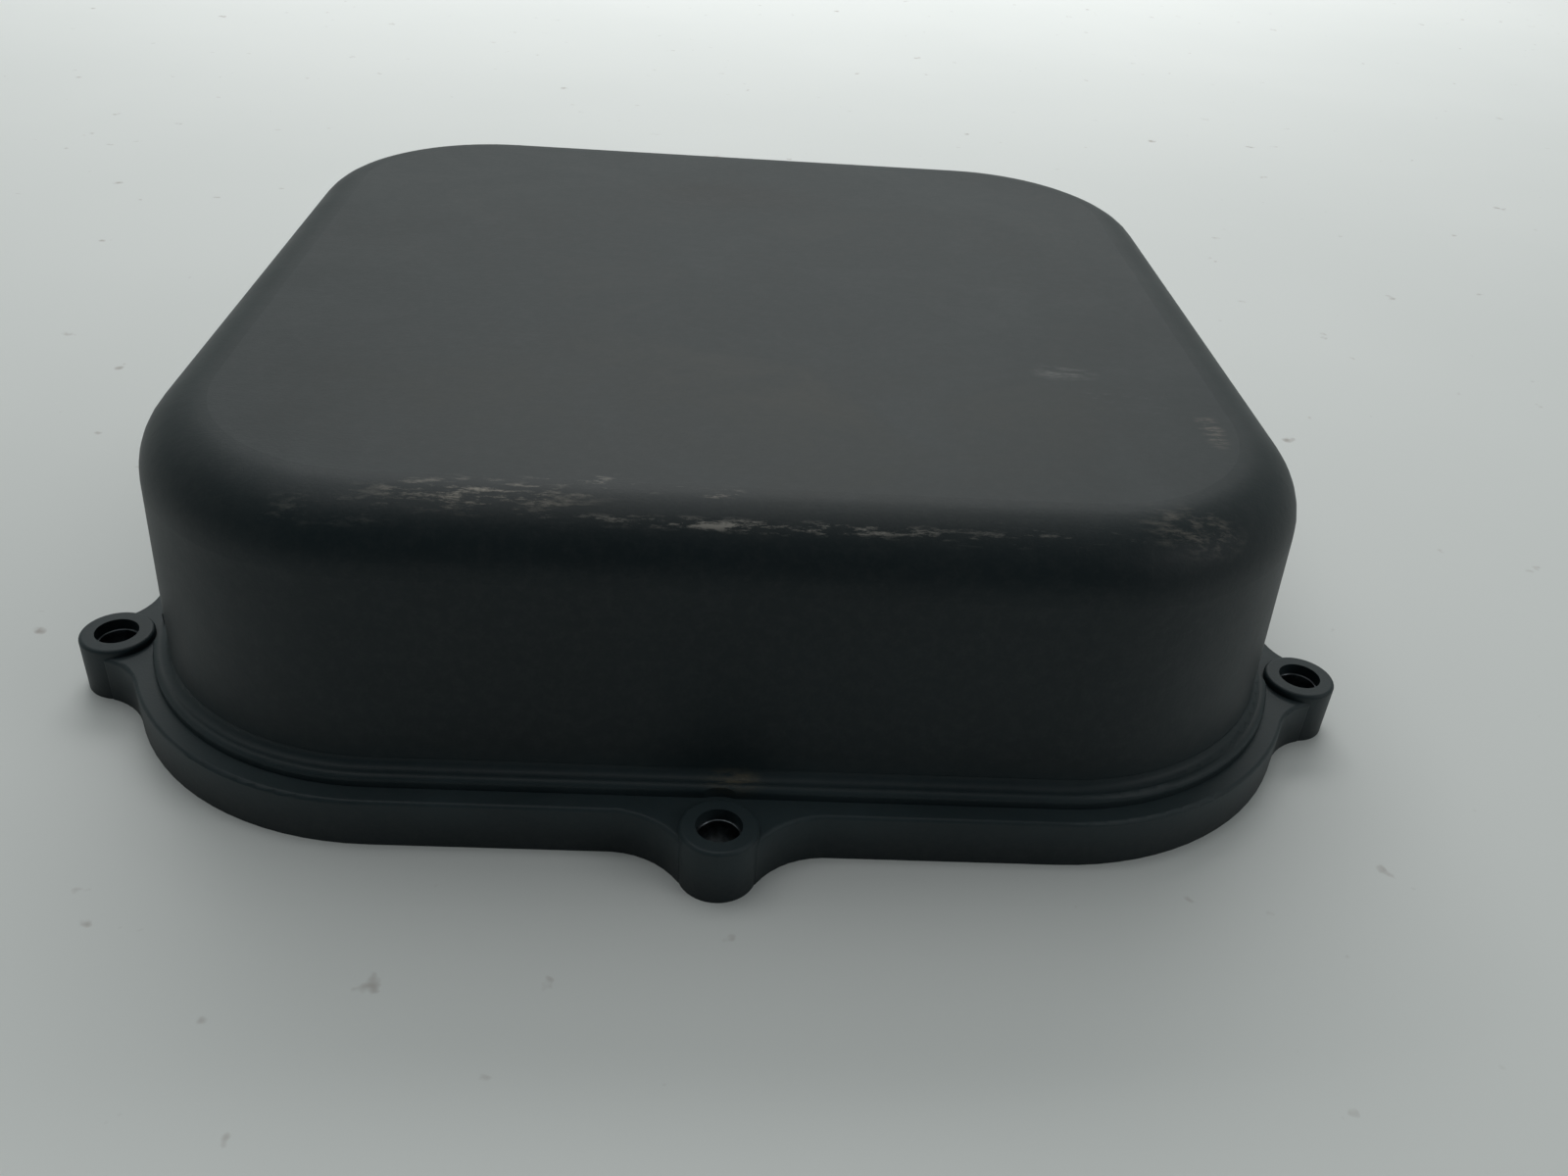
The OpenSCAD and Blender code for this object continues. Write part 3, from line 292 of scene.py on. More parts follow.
def turned(shape, outline, place, axis=(0, 0, 1), sides=24):
    """Turns an outline of (radius, height) pairs in mm about an axis through a place in mm."""
    stand = Matrix.Translation(Vector(place) * mm) @ Vector((0, 0, 1)).rotation_difference(
        Vector(axis)).to_matrix().to_4x4()
    rings = []
    for r, h in outline:
        angles = [2 * math.pi * k / sides for k in range(sides)]
        rings.append([shape.verts.new(stand @ (Vector((r * math.cos(a), r * math.sin(a), h)) * mm))
                      for a in angles])
    for low, high in zip(rings, rings[1:]):
        for k in range(sides):
            n = (k + 1) % sides
            shape.faces.new((low[k], low[n], high[n], high[k]))
    shape.faces.new(rings[0][::-1])
    shape.faces.new(rings[-1])


def ejector_marks(shape):
    ceiling = 54.2
    pin_rows = (-62, -20, 20, 62)
    for x in pin_rows:
        for y in pin_rows:
            turned(shape, ((3.1, -0.16), (3.2, -0.1), (3.2, 0.05)), (x, y, ceiling))


mesh_of("ejector_marks", ejector_marks, nylon, "cover")


# ---- bolt sleeves, plate, gasket and screws -----------------------------------------------
# Zinc-plated steel sleeves, pressed in from below, keep the lugs from crushing. The plate is
# pressed from plated sheet steel, a rubber cord seals it to the cover, and zinc-plated screws
# hold everything down.
def metal(name, light, dark, rough, cloud_mm, stretch=(1, 1, 1), relief=0.05):
    """A bare or plated metal, clouded between two shades, with roughness and relief to match.
    The clouds are cloud_mm across, drawn out along an axis where its stretch is under one."""
    made, tree, shader = new_material(name)
    place = add(tree, "TexCoord").outputs["Object"]
    drawn = add(tree, "Mapping", {"Scale": stretch}, {"Vector": place})
    cloud = add(tree, "TexNoise", {"Scale": 1 / (cloud_mm * mm), "Detail": 5, "Roughness": 0.65},
                {"Vector": drawn.outputs[0]})
    tint = add(tree, "MixRGB", {"Color1": linear(light), "Color2": linear(dark)},
               {"Fac": cloud.outputs[0]})
    tree.links.new(tint.outputs[0], shader.inputs["Base Color"])
    dull = add(tree, "MapRange", {"To Min": rough * 0.75, "To Max": rough * 1.3},
               {0: cloud.outputs[0]})
    tree.links.new(dull.outputs[0], shader.inputs["Roughness"])
    relief_node = add(tree, "Bump", {"Strength": 0.3, "Distance": relief * mm},
                      {"Height": cloud.outputs[0]})
    tree.links.new(relief_node.outputs[0], shader.inputs["Normal"])
    shader.inputs["Metallic"].default_value = 1
    return made


def plastic(name, light, dark, rough, grain_mm=0.4, relief=0.04, ior=1.5):
    """A moulded polymer: colour slightly clouded over about 14 mm, over a fine mould texture."""
    made, tree, shader = new_material(name)
    place = add(tree, "TexCoord").outputs["Object"]
    cloud = add(tree, "TexNoise", {"Scale": 70, "Detail": 4}, {"Vector": place})
    tint = add(tree, "MixRGB", {"Color1": linear(light), "Color2": linear(dark)},
               {"Fac": cloud.outputs[0]})
    tree.links.new(tint.outputs[0], shader.inputs["Base Color"])
    sheen = add(tree, "MapRange", {"To Min": rough * 0.8, "To Max": rough * 1.2},
                {0: cloud.outputs[0]})
    tree.links.new(sheen.outputs[0], shader.inputs["Roughness"])
    grain = add(tree, "TexNoise", {"Scale": 1 / (grain_mm * mm), "Detail": 2}, {"Vector": place})
    skin = add(tree, "Bump", {"Strength": 0.3, "Distance": relief * mm},
               {"Height": grain.outputs[0]})
    tree.links.new(skin.outputs[0], shader.inputs["Normal"])
    shader.inputs["IOR"].default_value = ior
    return made


# Turned tube with a zinc plate gone dark with grime, and painted near black besides for the shade
# deep in the lug bores; only specks of it glint in the lugs.
soften("lug_sleeves", metal("zinc_tube_with_painted_bore_shade", "#0b0d0f", "#8f969b", 0.3, 1.1), 0.2)
# Bright zinc on rolled sheet: cool grey, a faint spangle and brushing along its length.
zinc_sheet = metal("zinc_plated_sheet", "#b9bec1", "#8b9194", 0.34, 5, (1, 0.25, 1))
soften("base_plate", zinc_sheet, 0.2)
# Nitrile rubber: flat black, a little dusty.
soften("rim_gasket", plastic("nitrile_rubber", "#1d1d1d", "#111111", 0.75, 0.8, 0.06), 0.2)
# Zinc-plated steel screws: brighter than the sheet, with a thin blue cast.
zinc_screw = metal("zinc_plated_screw", "#ccd1d5", "#a0a6ab", 0.26, 1.2)
for node in ("flush_screws", "sheet_screws", "lid_screws", "board_screws"):
    soften(node, zinc_screw, 0.15)

# ---- motor --------------------------------------------------------------------------------
# A two-pole brushed motor: a drawn and plated steel can, a plastic tail with the brush boxes,
# and a wound armature on a ground shaft that carries the worm. A steel band holds it down.
# Deep-drawn steel, zinc plated: bright, with faint marks along the draw.
soften("motor_can", metal("plated_drawn_can", "#c3c7c9", "#9a9fa2", 0.3, 6, (1, 0.15, 1)), 0.5)
soften("motor_strap", zinc_sheet, 0.2)
# Moulded nylon: black with a soft sheen.
tail_nylon = plastic("black_nylon_moulding", "#24272b", "#16181b", 0.45)
soften("motor_end_cap", tail_nylon, 0.3)
soften("motor_saddle", tail_nylon, 0.4)
# Sintered ferrite: dark grey and dry. Pressed carbon: softer, with a faint copper fleck.
soften("motor_magnets", plastic("sintered_ferrite", "#414143", "#2c2c2e", 0.7, 0.3))
soften("motor_brushes", metal("copper_graphite", "#5d504a", "#3a3634", 0.5, 0.4))
# Oil-filled sintered bronze, a warm dull brown-gold.
bronze = metal("sintered_bronze", "#bd955c", "#8a6a3c", 0.4, 0.5)
for node in ("motor_bearings", "worm_end_bush", "output_bush", "lid_bush"):
    soften(node, bronze, 0.15)
# Ground and hardened steel, bright with fine rings round the axis.
ground_steel = metal("ground_steel", "#d6d8da", "#aeb1b3", 0.18, 0.8, (0.3, 3, 0.3), 0.01)
for node in ("motor_shaft", "wheel_key", "encoder_post"):
    soften(node, ground_steel, 0.15)
soften("worm", ground_steel)
# Stacked sheets show as fine rings, enamelled wire as a deep glossy copper red, and the turned
# copper of the commutator as a plain warm shine.
soften("armature_core", metal("stacked_core_sheet", "#7d7f80", "#55575a", 0.4, 0.5, (0.1, 6, 0.1)))
soften("armature_windings", metal("enamelled_winding_wire", "#c36a33", "#7f3c1a", 0.3, 0.45))
soften("commutator", metal("turned_copper", "#c9824c", "#9c5c33", 0.25, 0.6))


# ---- fold tabs ----------------------------------------------------------------------------
# Four tabs of the can's own steel, 6 by 5 mm and 0.8 mm thick, are folded over the tail to hold
# it. They narrow a little towards the can's edge.
can_low, can_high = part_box("motor_can")
motor_x = (can_low[0] + can_high[0]) / 2 / mm
motor_z = (can_low[2] + can_high[2]) / 2 / mm
motor_r = (can_high[0] - can_low[0]) / 2 / mm
tail_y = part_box("motor_end_cap")[0][1] / mm


def fold_tabs(shape):
    long, thick, wide = 6, 0.8, 5
    for k in range(4):
        a = math.radians(45 + 90 * k)
        tab = bmesh.ops.create_cube(shape, size=1)["verts"]
        turn = Matrix.Rotation(-a, 4, "Y")
        for v in tab:
            v.co = Vector((v.co.x * long, v.co.y * thick, v.co.z * wide))
            v.co.z *= 1 - 0.12 * (v.co.x > 0)
        reach = turn @ Vector((motor_r - 3.1, 0, 0))
        bmesh.ops.transform(shape, verts=tab, matrix=Matrix.Scale(mm, 4) @ Matrix.Translation(
            (motor_x + reach.x, tail_y - 0.35, motor_z + reach.z)) @ turn)


tabs = mesh_of("fold_tabs", fold_tabs, nodes["motor_can"].data.materials[0], "base")
bend = tabs.modifiers.new("edge", "BEVEL")
bend.width = 0.25 * mm
bend.segments = 3


# ---- motor tags and their capacitor -------------------------------------------------------
# Tinned brass tags in the tail carry the leads, each under a small cone of solder. A dipped
# ceramic disc capacitor is soldered between them to quieten the brushes.
# Tin solder: bright and smooth, as it froze.
solder = metal("tin_solder", "#d3d5d6", "#a7a9ab", 0.22, 0.7)
tag_x = 12


def motor_tags(shape):
    for s in (-1, 1):
        tag = bmesh.ops.create_cube(shape, size=1)["verts"]
        bmesh.ops.transform(shape, verts=tag, matrix=Matrix.Scale(mm, 4) @ Matrix.Translation(
            (motor_x + s * tag_x, tail_y - 1.2, motor_z)) @ Matrix.Diagonal((4, 2.6, 0.6, 1)))
        turned(shape, ((1.7, 0), (1.5, 0.5), (0.9, 1.3), (0.2, 1.8)),
               (motor_x + s * tag_x, tail_y - 1.4, motor_z + 0.2))


mesh_of("motor_tags", motor_tags, solder, "base")


def disc_capacitor(shape):
    turned(shape, ((2.2, -1.4), (3.6, -1.1), (4.2, -0.5), (4.2, 0.5), (3.6, 1.1), (2.2, 1.4)),
           (motor_x, tail_y - 2.6, motor_z + 6.5), (0, 1, 0), 32)


# Dipped ceramic: an orange-brown lacquer, thick and glossy.
ceramic = plastic("dipped_ceramic", "#c07a2e", "#9a5a1c", 0.35)
mesh_of("disc_capacitor", disc_capacitor, ceramic, "base")


def wire(name, points, radius, material):
    """A round wire through a list of points in mm, turned to a mesh piece."""
    line = bpy.data.curves.new(name, "CURVE")
    line.dimensions = "3D"
    line.bevel_depth = radius * mm
    line.bevel_resolution = 5
    line.use_fill_caps = True
    line.resolution_u = 8
    run = line.splines.new("BEZIER")
    run.bezier_points.add(len(points) - 1)
    for point, at in zip(run.bezier_points, points):
        point.co = Vector(at) * mm
        point.handle_left_type = point.handle_right_type = "AUTO"
    line.materials.append(material)
    curve = link_new(name, line)
    flat = bpy.data.meshes.new_from_object(curve)
    bpy.data.objects.remove(curve)
    made = link_new(name, flat)
    flat.shade_smooth()
    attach(made, "base")
    return made


for s, side in ((-1, "left"), (1, "right")):
    wire("capacitor_leg_" + side,
         ((motor_x + s * 2.2, tail_y - 2.6, motor_z + 3.4),
          (motor_x + s * 5, tail_y - 2.4, motor_z + 0.8),
          (motor_x + s * (tag_x - 1.5), tail_y - 1.9, motor_z + 0.5)), 0.3,
         solder)

# ---- gear case ----------------------------------------------------------------------------
# A die-cast zinc case under a moulded lid, held by four screws. A nylon wheel, keyed to a
# hollow steel hub, runs on the worm in grease, and the hub comes out through a lip seal below.
# As-cast zinc alloy: dull grey, finely pebbled, a little streaked by its release agent.
soften("gear_case", metal("die_cast_zinc", "#9ba0a3", "#757a7d", 0.5, 1.4, relief=0.12), 0.6)
# Glass-filled nylon, not as black as the cover, with a coarser texture.
soften("gear_case_lid", plastic("glass_filled_lid", "#3c4145", "#2b2f32", 0.5, 0.6, 0.08), 0.4)
# Moulded rubber: black and matt.
soften("output_seal", plastic("moulded_seal_rubber", "#191919", "#0f0f0f", 0.6))
# Machined steel with fine lines round the hub, and cast nylon of an oily cream colour.
soften("output_hub", metal("machined_steel", "#b3b6b8", "#8c8f91", 0.28, 0.6, (0.4, 0.4, 4)), 0.2)
soften("worm_wheel", plastic("cast_nylon_wheel", "#ded9c8", "#c9c1a8", 0.4))
# Blackened spring steel: dark, with an oily shine.
blacked = metal("blackened_spring_steel", "#5a5d60", "#3c3e41", 0.35, 0.8)
soften("wheel_circlip", blacked, 0.1)
soften("encoder_clip", blacked, 0.1)

# ---- lid ribs -----------------------------------------------------------------------------
# Stiffening ribs moulded on the lid, 16 mm long and 2 mm wide, run out from the hub's stub and
# get lower on the way. There are none at the back, where the encoder's gear turns over the lid.
hub_low, hub_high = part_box("output_hub")
hub_x = (hub_low[0] + hub_high[0]) / 2 / mm
hub_y = (hub_low[1] + hub_high[1]) / 2 / mm
lid_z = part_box("gear_case_lid")[1][2] / mm


def lid_ribs(shape):
    middle = 17
    to_gear = math.radians(90)
    for k in range(12):
        a = math.radians(15 + 30 * k)
        if math.cos(a - to_gear) > 0.6:
            continue
        rib = bmesh.ops.create_cube(shape, size=1)["verts"]
        for v in rib:
            v.co.z = (v.co.z + 0.5) * (0.9 if v.co.x < 0 else 0.5) - 0.05
        bmesh.ops.transform(shape, verts=rib, matrix=Matrix.Scale(mm, 4) @ Matrix.Translation(
            (hub_x + middle * math.cos(a), hub_y + middle * math.sin(a), lid_z))
            @ Matrix.Rotation(a, 4, "Z") @ Matrix.Diagonal((16, 2, 1.2, 1)))


ribs = mesh_of("lid_ribs", lid_ribs, nodes["gear_case_lid"].data.materials[0], "base")
round_off = ribs.modifiers.new("edge", "BEVEL")
round_off.width = 0.25 * mm
round_off.segments = 2

# ---- travel encoder -----------------------------------------------------------------------
# Two moulded acetal gears off the hub turn a slotted film disc through a light gate, which
# counts the travel. The gate sits on a bent steel bracket that is screwed to the plate.
# Natural acetal: milky white and waxy.
acetal = plastic("natural_acetal", "#ece8dc", "#dcd6c6", 0.35)
soften("encoder_pinion", acetal)
soften("encoder_gear", acetal)
# Printed film and infrared-black plastic: both black, the film glossier.
soften("encoder_disc", plastic("black_film", "#232527", "#17181a", 0.25))
soften("optical_sensor", plastic("infrared_black", "#1a1a1f", "#101013", 0.3), 0.25)
soften("sensor_bracket", zinc_sheet, 0.15)

# ---- control board ------------------------------------------------------------------------
# Glass-epoxy laminate under a green solder mask, screwed to brass standoffs, with its parts
# soldered in from above.
# Solder mask: a glossy clear green, with the weave of the glass cloth just showing.
board_low, board_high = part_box("control_board")
board_top = board_high[2] / mm
wave_repeat = 0.314                 # metres between the bands of a wave texture at scale one
weave_mm = 0.7                      # real glass cloth is 0.4 mm; drawn coarser so that it shows
laminate_green, tree, shader = new_material("green_solder_mask")
place = add(tree, "TexCoord").outputs["Object"]
weave_a = add(tree, "TexWave", {"Scale": wave_repeat / (weave_mm * mm), "bands_direction": "X"},
              {"Vector": place})
weave_b = add(tree, "TexWave", {"Scale": wave_repeat / (weave_mm * mm), "bands_direction": "Y"},
              {"Vector": place})
weave = add(tree, "Math", {"operation": "ADD"}, {0: weave_a.outputs[1], 1: weave_b.outputs[1]})
cloud = add(tree, "TexNoise", {"Scale": 60, "Detail": 3}, {"Vector": place})
tint = add(tree, "MixRGB", {"Color1": linear("#1c5a36"), "Color2": linear("#174a2d")},
           {"Fac": cloud.outputs[0]})
tree.links.new(tint.outputs[0], shader.inputs["Base Color"])
shader.inputs["Roughness"].default_value = 0.28
skin = add(tree, "Bump", {"Strength": 0.15, "Distance": 0.03 * mm}, {"Height": weave.outputs[0]})
tree.links.new(skin.outputs[0], shader.inputs["Normal"])
soften("control_board", laminate_green)
# Turned brass: yellow and bright, with a little tarnish.
brass = metal("turned_brass", "#cfb56a", "#a8894a", 0.28, 1)
for node in ("board_standoffs", "fuse_holder", "terminal_screws"):
    soften(node, brass, 0.12)
# Black moulded epoxy, matt; relay cases in a glossier blue; and shrunk sleeve, thin and shiny.
soften("board_chips", plastic("moulded_chip_epoxy", "#1b1d1f", "#121314", 0.5), 0.15)
soften("relays", plastic("blue_relay_case", "#2f68a4", "#245689", 0.3), 0.5)
soften("reservoir_capacitor", plastic("shrunk_black_sleeve", "#2a2c31", "#1c1e22", 0.3), 0.3)
# Extruded aluminium, black anodised: dark, satin, and faintly lined up its fins.
soften("heat_sink", metal("black_anodised_extrusion", "#3a3c40", "#26282b", 0.4, 1, (1, 1, 0.1)),
       0.2)
# Green polyamide with a soft sheen, and a tinned can over the radio receiver.
soften("board_terminals", plastic("green_polyamide", "#3f9259", "#33804c", 0.4), 0.3)
soften("radio_receiver", metal("tinned_can", "#c6c9cb", "#a2a5a8", 0.25, 2), 0.2)
# Dark switch bodies with an amber cap and a grey one, and blue trimmers with cream knobs, all
# moulded and satin.
soften("button_bodies", plastic("switch_body", "#34383b", "#26292c", 0.4), 0.2)
soften("learn_button", plastic("amber_cap", "#dcaa33", "#c99724", 0.3), 0.2)
soften("test_button", plastic("grey_cap", "#cccecf", "#b5b8ba", 0.3), 0.2)
soften("trimmer_bodies", plastic("blue_trimmer", "#3269b2", "#28589a", 0.35), 0.2)
knob_white = plastic("cream_knob", "#ebe7dc", "#dad4c4", 0.35)
soften("open_force_knob", knob_white, 0.15)
soften("close_force_knob", knob_white, 0.15)

# Diffused epoxy lens: red right through, glossy, and a little light soaks in, red furthest.
lens = plastic("red_epoxy_lens", "#c8402f", "#b5301f", 0.12, ior=1.54)
lens_shader = lens.node_tree.nodes["Principled BSDF"]
lens_shader.inputs["Subsurface Weight"].default_value = 0.2
lens_shader.inputs["Subsurface Radius"].default_value = (2 * mm, 0.4 * mm, 0.3 * mm)
soften("status_led", lens)

# ---- fuse ---------------------------------------------------------------------------------
# A glass tube 20 mm long with nickel-plated caps pushed on its ends. It clips into the holder.
# One material does both: clear within 5.2 mm of the middle, and bright nickel beyond.
half_glass_mm = 5.2
fuse_glass, tree, shader = new_material("fuse_glass_and_caps")
place = add(tree, "TexCoord").outputs["Object"]
fuse_low, fuse_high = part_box("fuse")
along = add(tree, "SeparateXYZ", links={0: place})
fuse_x = (fuse_low[0] + fuse_high[0]) / 2
off = add(tree, "Math", {"operation": "SUBTRACT", 1: fuse_x}, {0: along.outputs["X"]})
far = add(tree, "Math", {"operation": "ABSOLUTE"}, {0: off.outputs[0]})
cap_on = add(tree, "Math", {"operation": "GREATER_THAN", 1: half_glass_mm * mm},
             {0: far.outputs[0]})
tree.links.new(cap_on.outputs[0], shader.inputs["Metallic"])
stain = add(tree, "TexNoise", {"Scale": 900, "Detail": 2}, {"Vector": place})
nickel = add(tree, "MixRGB", {"Color1": linear("#cdcfd0"), "Color2": linear("#b0b3b5")},
             {"Fac": stain.outputs[0]})
tint = add(tree, "MixRGB", {"Color1": linear("#e6efef")},
           {"Fac": cap_on.outputs[0], "Color2": nickel.outputs[0]})
tree.links.new(tint.outputs[0], shader.inputs["Base Color"])
clear = add(tree, "Math", {"operation": "SUBTRACT", 0: 0.85}, {1: cap_on.outputs[0]})
tree.links.new(clear.outputs[0], shader.inputs["Transmission Weight"])
shader.inputs["Roughness"].default_value = 0.12
soften("fuse", fuse_glass)


# ---- board tracks -------------------------------------------------------------------------
# Etched copper under the solder mask: thin raised strips, 0.7 mm wide, that run straight and
# then turn at 45 degrees, as a layout is drawn. They keep 2.5 mm off the board's edges.
# Masked copper: a paler green than the bare laminate, and as glossy.
masked_track = plastic("masked_copper_track", "#2f7a45", "#276a3b", 0.25)


def tracks(shape):
    draw = random.Random(7)
    half = 0.35
    thick = 0.06
    margin = 2.5
    low = (board_low[0] / mm + margin, board_low[1] / mm + margin)
    high = (board_high[0] / mm - margin, board_high[1] / mm - margin)
    grid = 2.54                     # the tenth of an inch that legs are spaced by
    for row in range(int((high[1] - low[1]) / grid)):
        for column in range(4):
            x = low[0] + (column + draw.random() * 0.6) * (high[0] - low[0]) / 4
            y = low[1] + row * grid
            run = grid * draw.randint(1, 5)
            jog = grid * draw.choice((-1, 1))
            path = [(x, y), (x + run, y), (x + run + abs(jog), y + jog),
                    (x + 2 * run + abs(jog), y + jog)]
            path = [p for p in path if p[0] < high[0] and low[1] < p[1] < high[1]]
            for a, b in zip(path, path[1:]):
                way = Vector((b[0] - a[0], b[1] - a[1], 0))
                side = Vector((-way.y, way.x, 0)).normalized() * half
                ends = [Vector((a[0], a[1], board_top)), Vector((b[0], b[1], board_top))]
                feet = [ends[0] - side, ends[0] + side, ends[1] + side, ends[1] - side]
                tops = [shape.verts.new((f + Vector((0, 0, thick))) * mm) for f in feet]
                base = [shape.verts.new(f * mm) for f in feet]
                shape.faces.new(tops[::-1])
                shape.faces.new(base)
                for k in range(4):
                    n = (k + 1) % 4
                    shape.faces.new((base[n], base[k], tops[k], tops[n]))


mesh_of("board_tracks", tracks, masked_track, "base")

# ---- solder joints ------------------------------------------------------------------------
# Small cones of tin solder hang under the board where the parts' legs come through. They stand
# on a loose grid of 6 mm, and about six places in ten have one.
board_under = board_low[2] / mm


def joints_under(shape):
    draw = random.Random(11)
    spacing = 6
    for x in range(16, 82, spacing):
        for y in range(-72, 4, spacing):
            if draw.random() < 0.6:
                turned(shape, ((1.1, 0.05), (0.9, -0.35), (0.35, -0.9), (0.2, -1.3)),
                       (x + draw.random(), y + draw.random(), board_under), sides=10)


mesh_of("solder_joints", joints_under, solder, "base")

# ---- resistors ----------------------------------------------------------------------------
# Quarter-watt resistors lie on the board: a film on a ceramic rod, dipped in beige lacquer with
# painted code bands, on tinned wire legs that bend down through the board.
# Lacquer and band paint: smooth and fairly glossy; the gold band has metal flake in it.
resistor_body = plastic("beige_lacquer", "#cdb48a", "#bda277", 0.35)
band_paint = {"brown": plastic("brown_band", "#5c3418", "#4c2a12", 0.3),
              "red": plastic("red_band", "#a82a22", "#95221b", 0.3),
              "gold": metal("gold_band", "#c9a13c", "#a8842c", 0.3, 1)}
# Where each one lies: x and y in mm, and its turn in degrees. It lies 1.3 mm up.
resistor_spots = [(34, -48, 0), (34, -53, 0), (34, -58, 0), (34, -32, 0), (34, -27, 0),
                  (55, -36.5, 90), (34, -8, 0)]
lift = 1.3


def lying(shape, outline, spot, height):
    """Turns an outline about a part's own line, lying over the board at (x, y, turn)."""
    a = math.radians(spot[2])
    turned(shape, outline, (spot[0], spot[1], board_top + height),
           (math.cos(a), math.sin(a), 0), 20)


def resistors(shape):
    for spot in resistor_spots:
        lying(shape, ((0.3, -3.2), (1.05, -3), (1.2, -2.6), (1.2, -1.8), (1, -1.5), (1, 1.5),
                      (1.2, 1.8), (1.2, 2.6), (1.05, 3), (0.3, 3.2)), spot, lift)


mesh_of("resistors", resistors, resistor_body, "base")
# Each band: its place along the body, its paint and its radius, just over the lacquer's.
for at, colour, code in ((-2.2, "brown", 1.23), (-0.9, "red", 1.03), (0.1, "brown", 1.03),
                         (2.2, "gold", 1.23)):
    def bands(shape, at=at, code=code):
        for spot in resistor_spots:
            lying(shape, ((code - 0.1, at - 0.3), (code, at - 0.28), (code, at + 0.28),
                          (code - 0.1, at + 0.3)), spot, lift)

    mesh_of(f"resistor_band_{at + 3:.0f}", bands, band_paint[colour], "base")


def resistor_legs(shape):
    bend_at = 5.3
    for x, y, turn in resistor_spots:
        a = math.radians(turn)
        for s in (-1, 1):
            lying(shape, ((0.3, s * 4.3 - 1.1), (0.3, s * 4.3 + 1.1)), (x, y, turn), lift)
            turned(shape, ((0.3, 0), (0.3, 1.5), (0.15, 1.6)),
                   (x + s * bend_at * math.cos(a), y + s * bend_at * math.sin(a), board_top),
                   sides=10)


mesh_of("resistor_legs", resistor_legs, solder, "base")

# ---- small capacitors ---------------------------------------------------------------------
# Electrolytic capacitors: drawn aluminium cans in shrunk navy sleeves, crimped near the foot,
# with the bare top of the can showing. Each: x, y, radius and height in mm.
small_caps = [(36, -43, 2.5, 7), (57.5, -52.5, 2, 6), (36, -20, 3.2, 9), (58, -4, 2.5, 7)]


def small_sleeves(shape):
    for x, y, r, h in small_caps:
        turned(shape, ((r * 0.9, 0.1), (r, 0.5), (r * 0.92, 1), (r, 1.5), (r, h - 0.4),
                       (r * 0.9, h)), (x, y, board_top))


def small_tops(shape):
    for x, y, r, h in small_caps:
        turned(shape, ((r * 0.84, h - 0.2), (r * 0.84, h + 0.05), (r * 0.2, h + 0.12)),
               (x, y, board_top))


# Shrunk sleeve, dark and shiny; drawn aluminium, pale and satin.
mesh_of("small_capacitors", small_sleeves, plastic("navy_sleeve", "#22304f", "#19253f", 0.3),
        "base")
mesh_of("small_capacitor_tops", small_tops,
        metal("drawn_aluminium", "#d0d3d5", "#b3b6b8", 0.3, 1), "base")

# ---- mains supply -------------------------------------------------------------------------
# A small laminated transformer, varnished, with its coil bound in polyester tape, and a white
# terminal block for the supply, next to the rubber grommet that the cable comes in through.
# Stacked sheets: dark varnished steel with a line at every sheet edge.
core, tree, shader = new_material("varnished_core_sheets")
place = add(tree, "TexCoord").outputs["Object"]
sheet_mm = 1                        # real sheets are 0.5 mm; drawn double so that they show
sheets = add(tree, "TexWave", {"Scale": wave_repeat / (sheet_mm * mm), "bands_direction": "Y"},
             {"Vector": place})
dirt = add(tree, "TexNoise", {"Scale": 160, "Detail": 5}, {"Vector": place})
tint = add(tree, "MixRGB", {"Color1": linear("#6b6a66"), "Color2": linear("#3f3d3a")},
           {"Fac": dirt.outputs[0]})
tree.links.new(tint.outputs[0], shader.inputs["Base Color"])
lines = add(tree, "Bump", {"Strength": 0.6, "Distance": 0.2 * mm}, {"Height": sheets.outputs[1]})
tree.links.new(lines.outputs[0], shader.inputs["Normal"])
shader.inputs["Metallic"].default_value = 0.6
shader.inputs["Roughness"].default_value = 0.4
soften("transformer_core", core, 0.15)
# Polyester tape: amber and glossy, with the wires' ridges under it.
tape = plastic("polyester_tape", "#cfa94e", "#b78f38", 0.25, 1.2, 0.1)
soften("transformer_coil", tape, 0.8)
# White polyamide with a soft sheen, and matt black rubber.
soften("supply_terminals", plastic("white_polyamide", "#e8e8e4", "#d8d8d2", 0.4), 0.4)
soften("cable_grommet", plastic("soft_grommet_rubber", "#1a1a1a", "#101010", 0.6), 0.3)

# ---- leads --------------------------------------------------------------------------------
# PVC-covered stranded leads, each held at both ends: red and black from the motor and from the
# low-voltage winding, brown and blue to the mains winding, grey from the light gate.
core_low, core_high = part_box("transformer_core")
supply_low, supply_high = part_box("supply_terminals")
gate_low, gate_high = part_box("optical_sensor")
terminal_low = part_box("board_terminals")[0]
transformer_x = (core_low[0] + core_high[0]) / 2 / mm
supply_x = (supply_low[0] + supply_high[0]) / 2 / mm
supply_y = supply_low[1] / mm + 1
coil_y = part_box("transformer_coil")[0][1] / mm
mouth_y = terminal_low[1] / mm + 1
mouth_z = board_top + 4
first_way = terminal_low[0] / mm + 3
run_y = tail_y - 2.2
gate_y = (gate_high[1] + gate_low[1]) / 2 / mm + 2.9
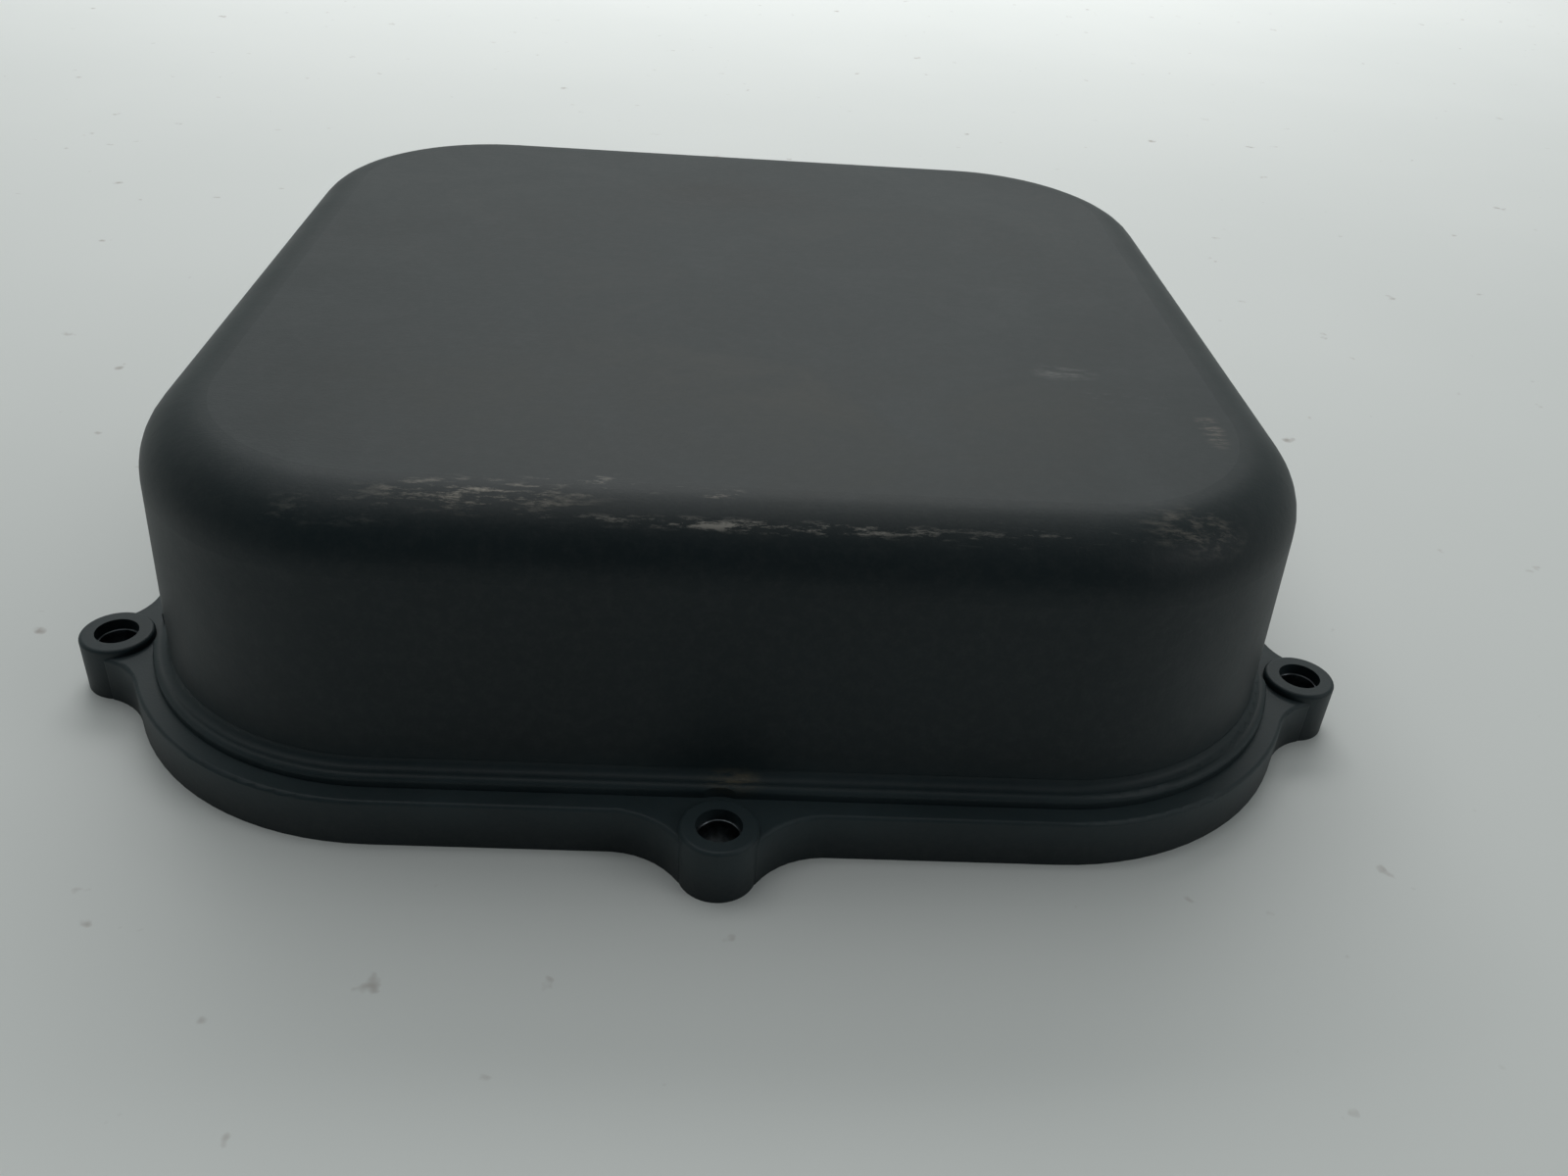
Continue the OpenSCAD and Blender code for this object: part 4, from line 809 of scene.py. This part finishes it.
# Flexible PVC: smooth, satin and evenly coloured right through.
pvc = {"red": plastic("red_pvc", "#ad2c24", "#96231c", 0.35),
       "black": plastic("black_pvc", "#1c1e20", "#131416", 0.35),
       "brown": plastic("brown_pvc", "#6f4a2f", "#5c3b24", 0.35),
       "blue": plastic("blue_pvc", "#2b5fa0", "#224f88", 0.35),
       "grey": plastic("grey_pvc", "#8c8f91", "#7a7d7f", 0.35)}
# Each lead: its name, colour and radius, and the points it passes in mm.
leads = (
    ("motor_red", "red", 0.9,
     ((motor_x + tag_x, tail_y - 0.3, motor_z), (motor_x + 13, run_y, motor_z), (0, run_y, 22),
      (first_way - 2, run_y, mouth_z), (first_way, mouth_y, mouth_z))),
    ("motor_black", "black", 0.9,
     ((motor_x - tag_x, tail_y - 0.3, motor_z), (motor_x - 10, run_y, 22),
      (motor_x + 8, run_y, 12), (10, run_y, 12), (first_way + 4, run_y, 15),
      (first_way + 6, mouth_y, mouth_z))),
    ("winding_red", "red", 0.9,
     ((transformer_x - 5, coil_y, 24), (transformer_x - 5, 22, 24), (transformer_x - 3, 10, 21),
      (transformer_x - 3, 2.6, 19), (transformer_x - 3, 2, board_top + 0.2))),
    ("winding_black", "black", 0.9,
     ((transformer_x + 5, coil_y, 24), (transformer_x + 5, 22, 24), (transformer_x + 1, 10, 21),
      (transformer_x + 1, 2.6, 19), (transformer_x + 1, 2, board_top + 0.2))),
    ("mains_brown", "brown", 0.9,
     ((supply_x, supply_y, 8), (supply_x, 40, 8), (34, 24, 11), (48, 22, 14),
      (52, coil_y, 14))),
    ("mains_blue", "blue", 0.9,
     ((supply_x + 8, supply_y, 8), (supply_x + 8, 44, 8), (36, 31, 11), (44, 26.5, 14),
      (47, coil_y, 14))),
    ("gate_grey", "grey", 0.8,
     ((hub_x + 6, gate_y, 44), (hub_x + 10, gate_y, 40), (hub_x + 12, gate_y, 8), (-3, 60, 6),
      (9, 45.5, 6), (12, 16, 6), (24, 6, 6), (27, 1, 7.5), (27.4, -1, board_under - 0.1))))
for name, colour, radius, points in leads:
    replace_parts(wire("lead_" + name, points, radius, pvc[colour]), "internal_leads")
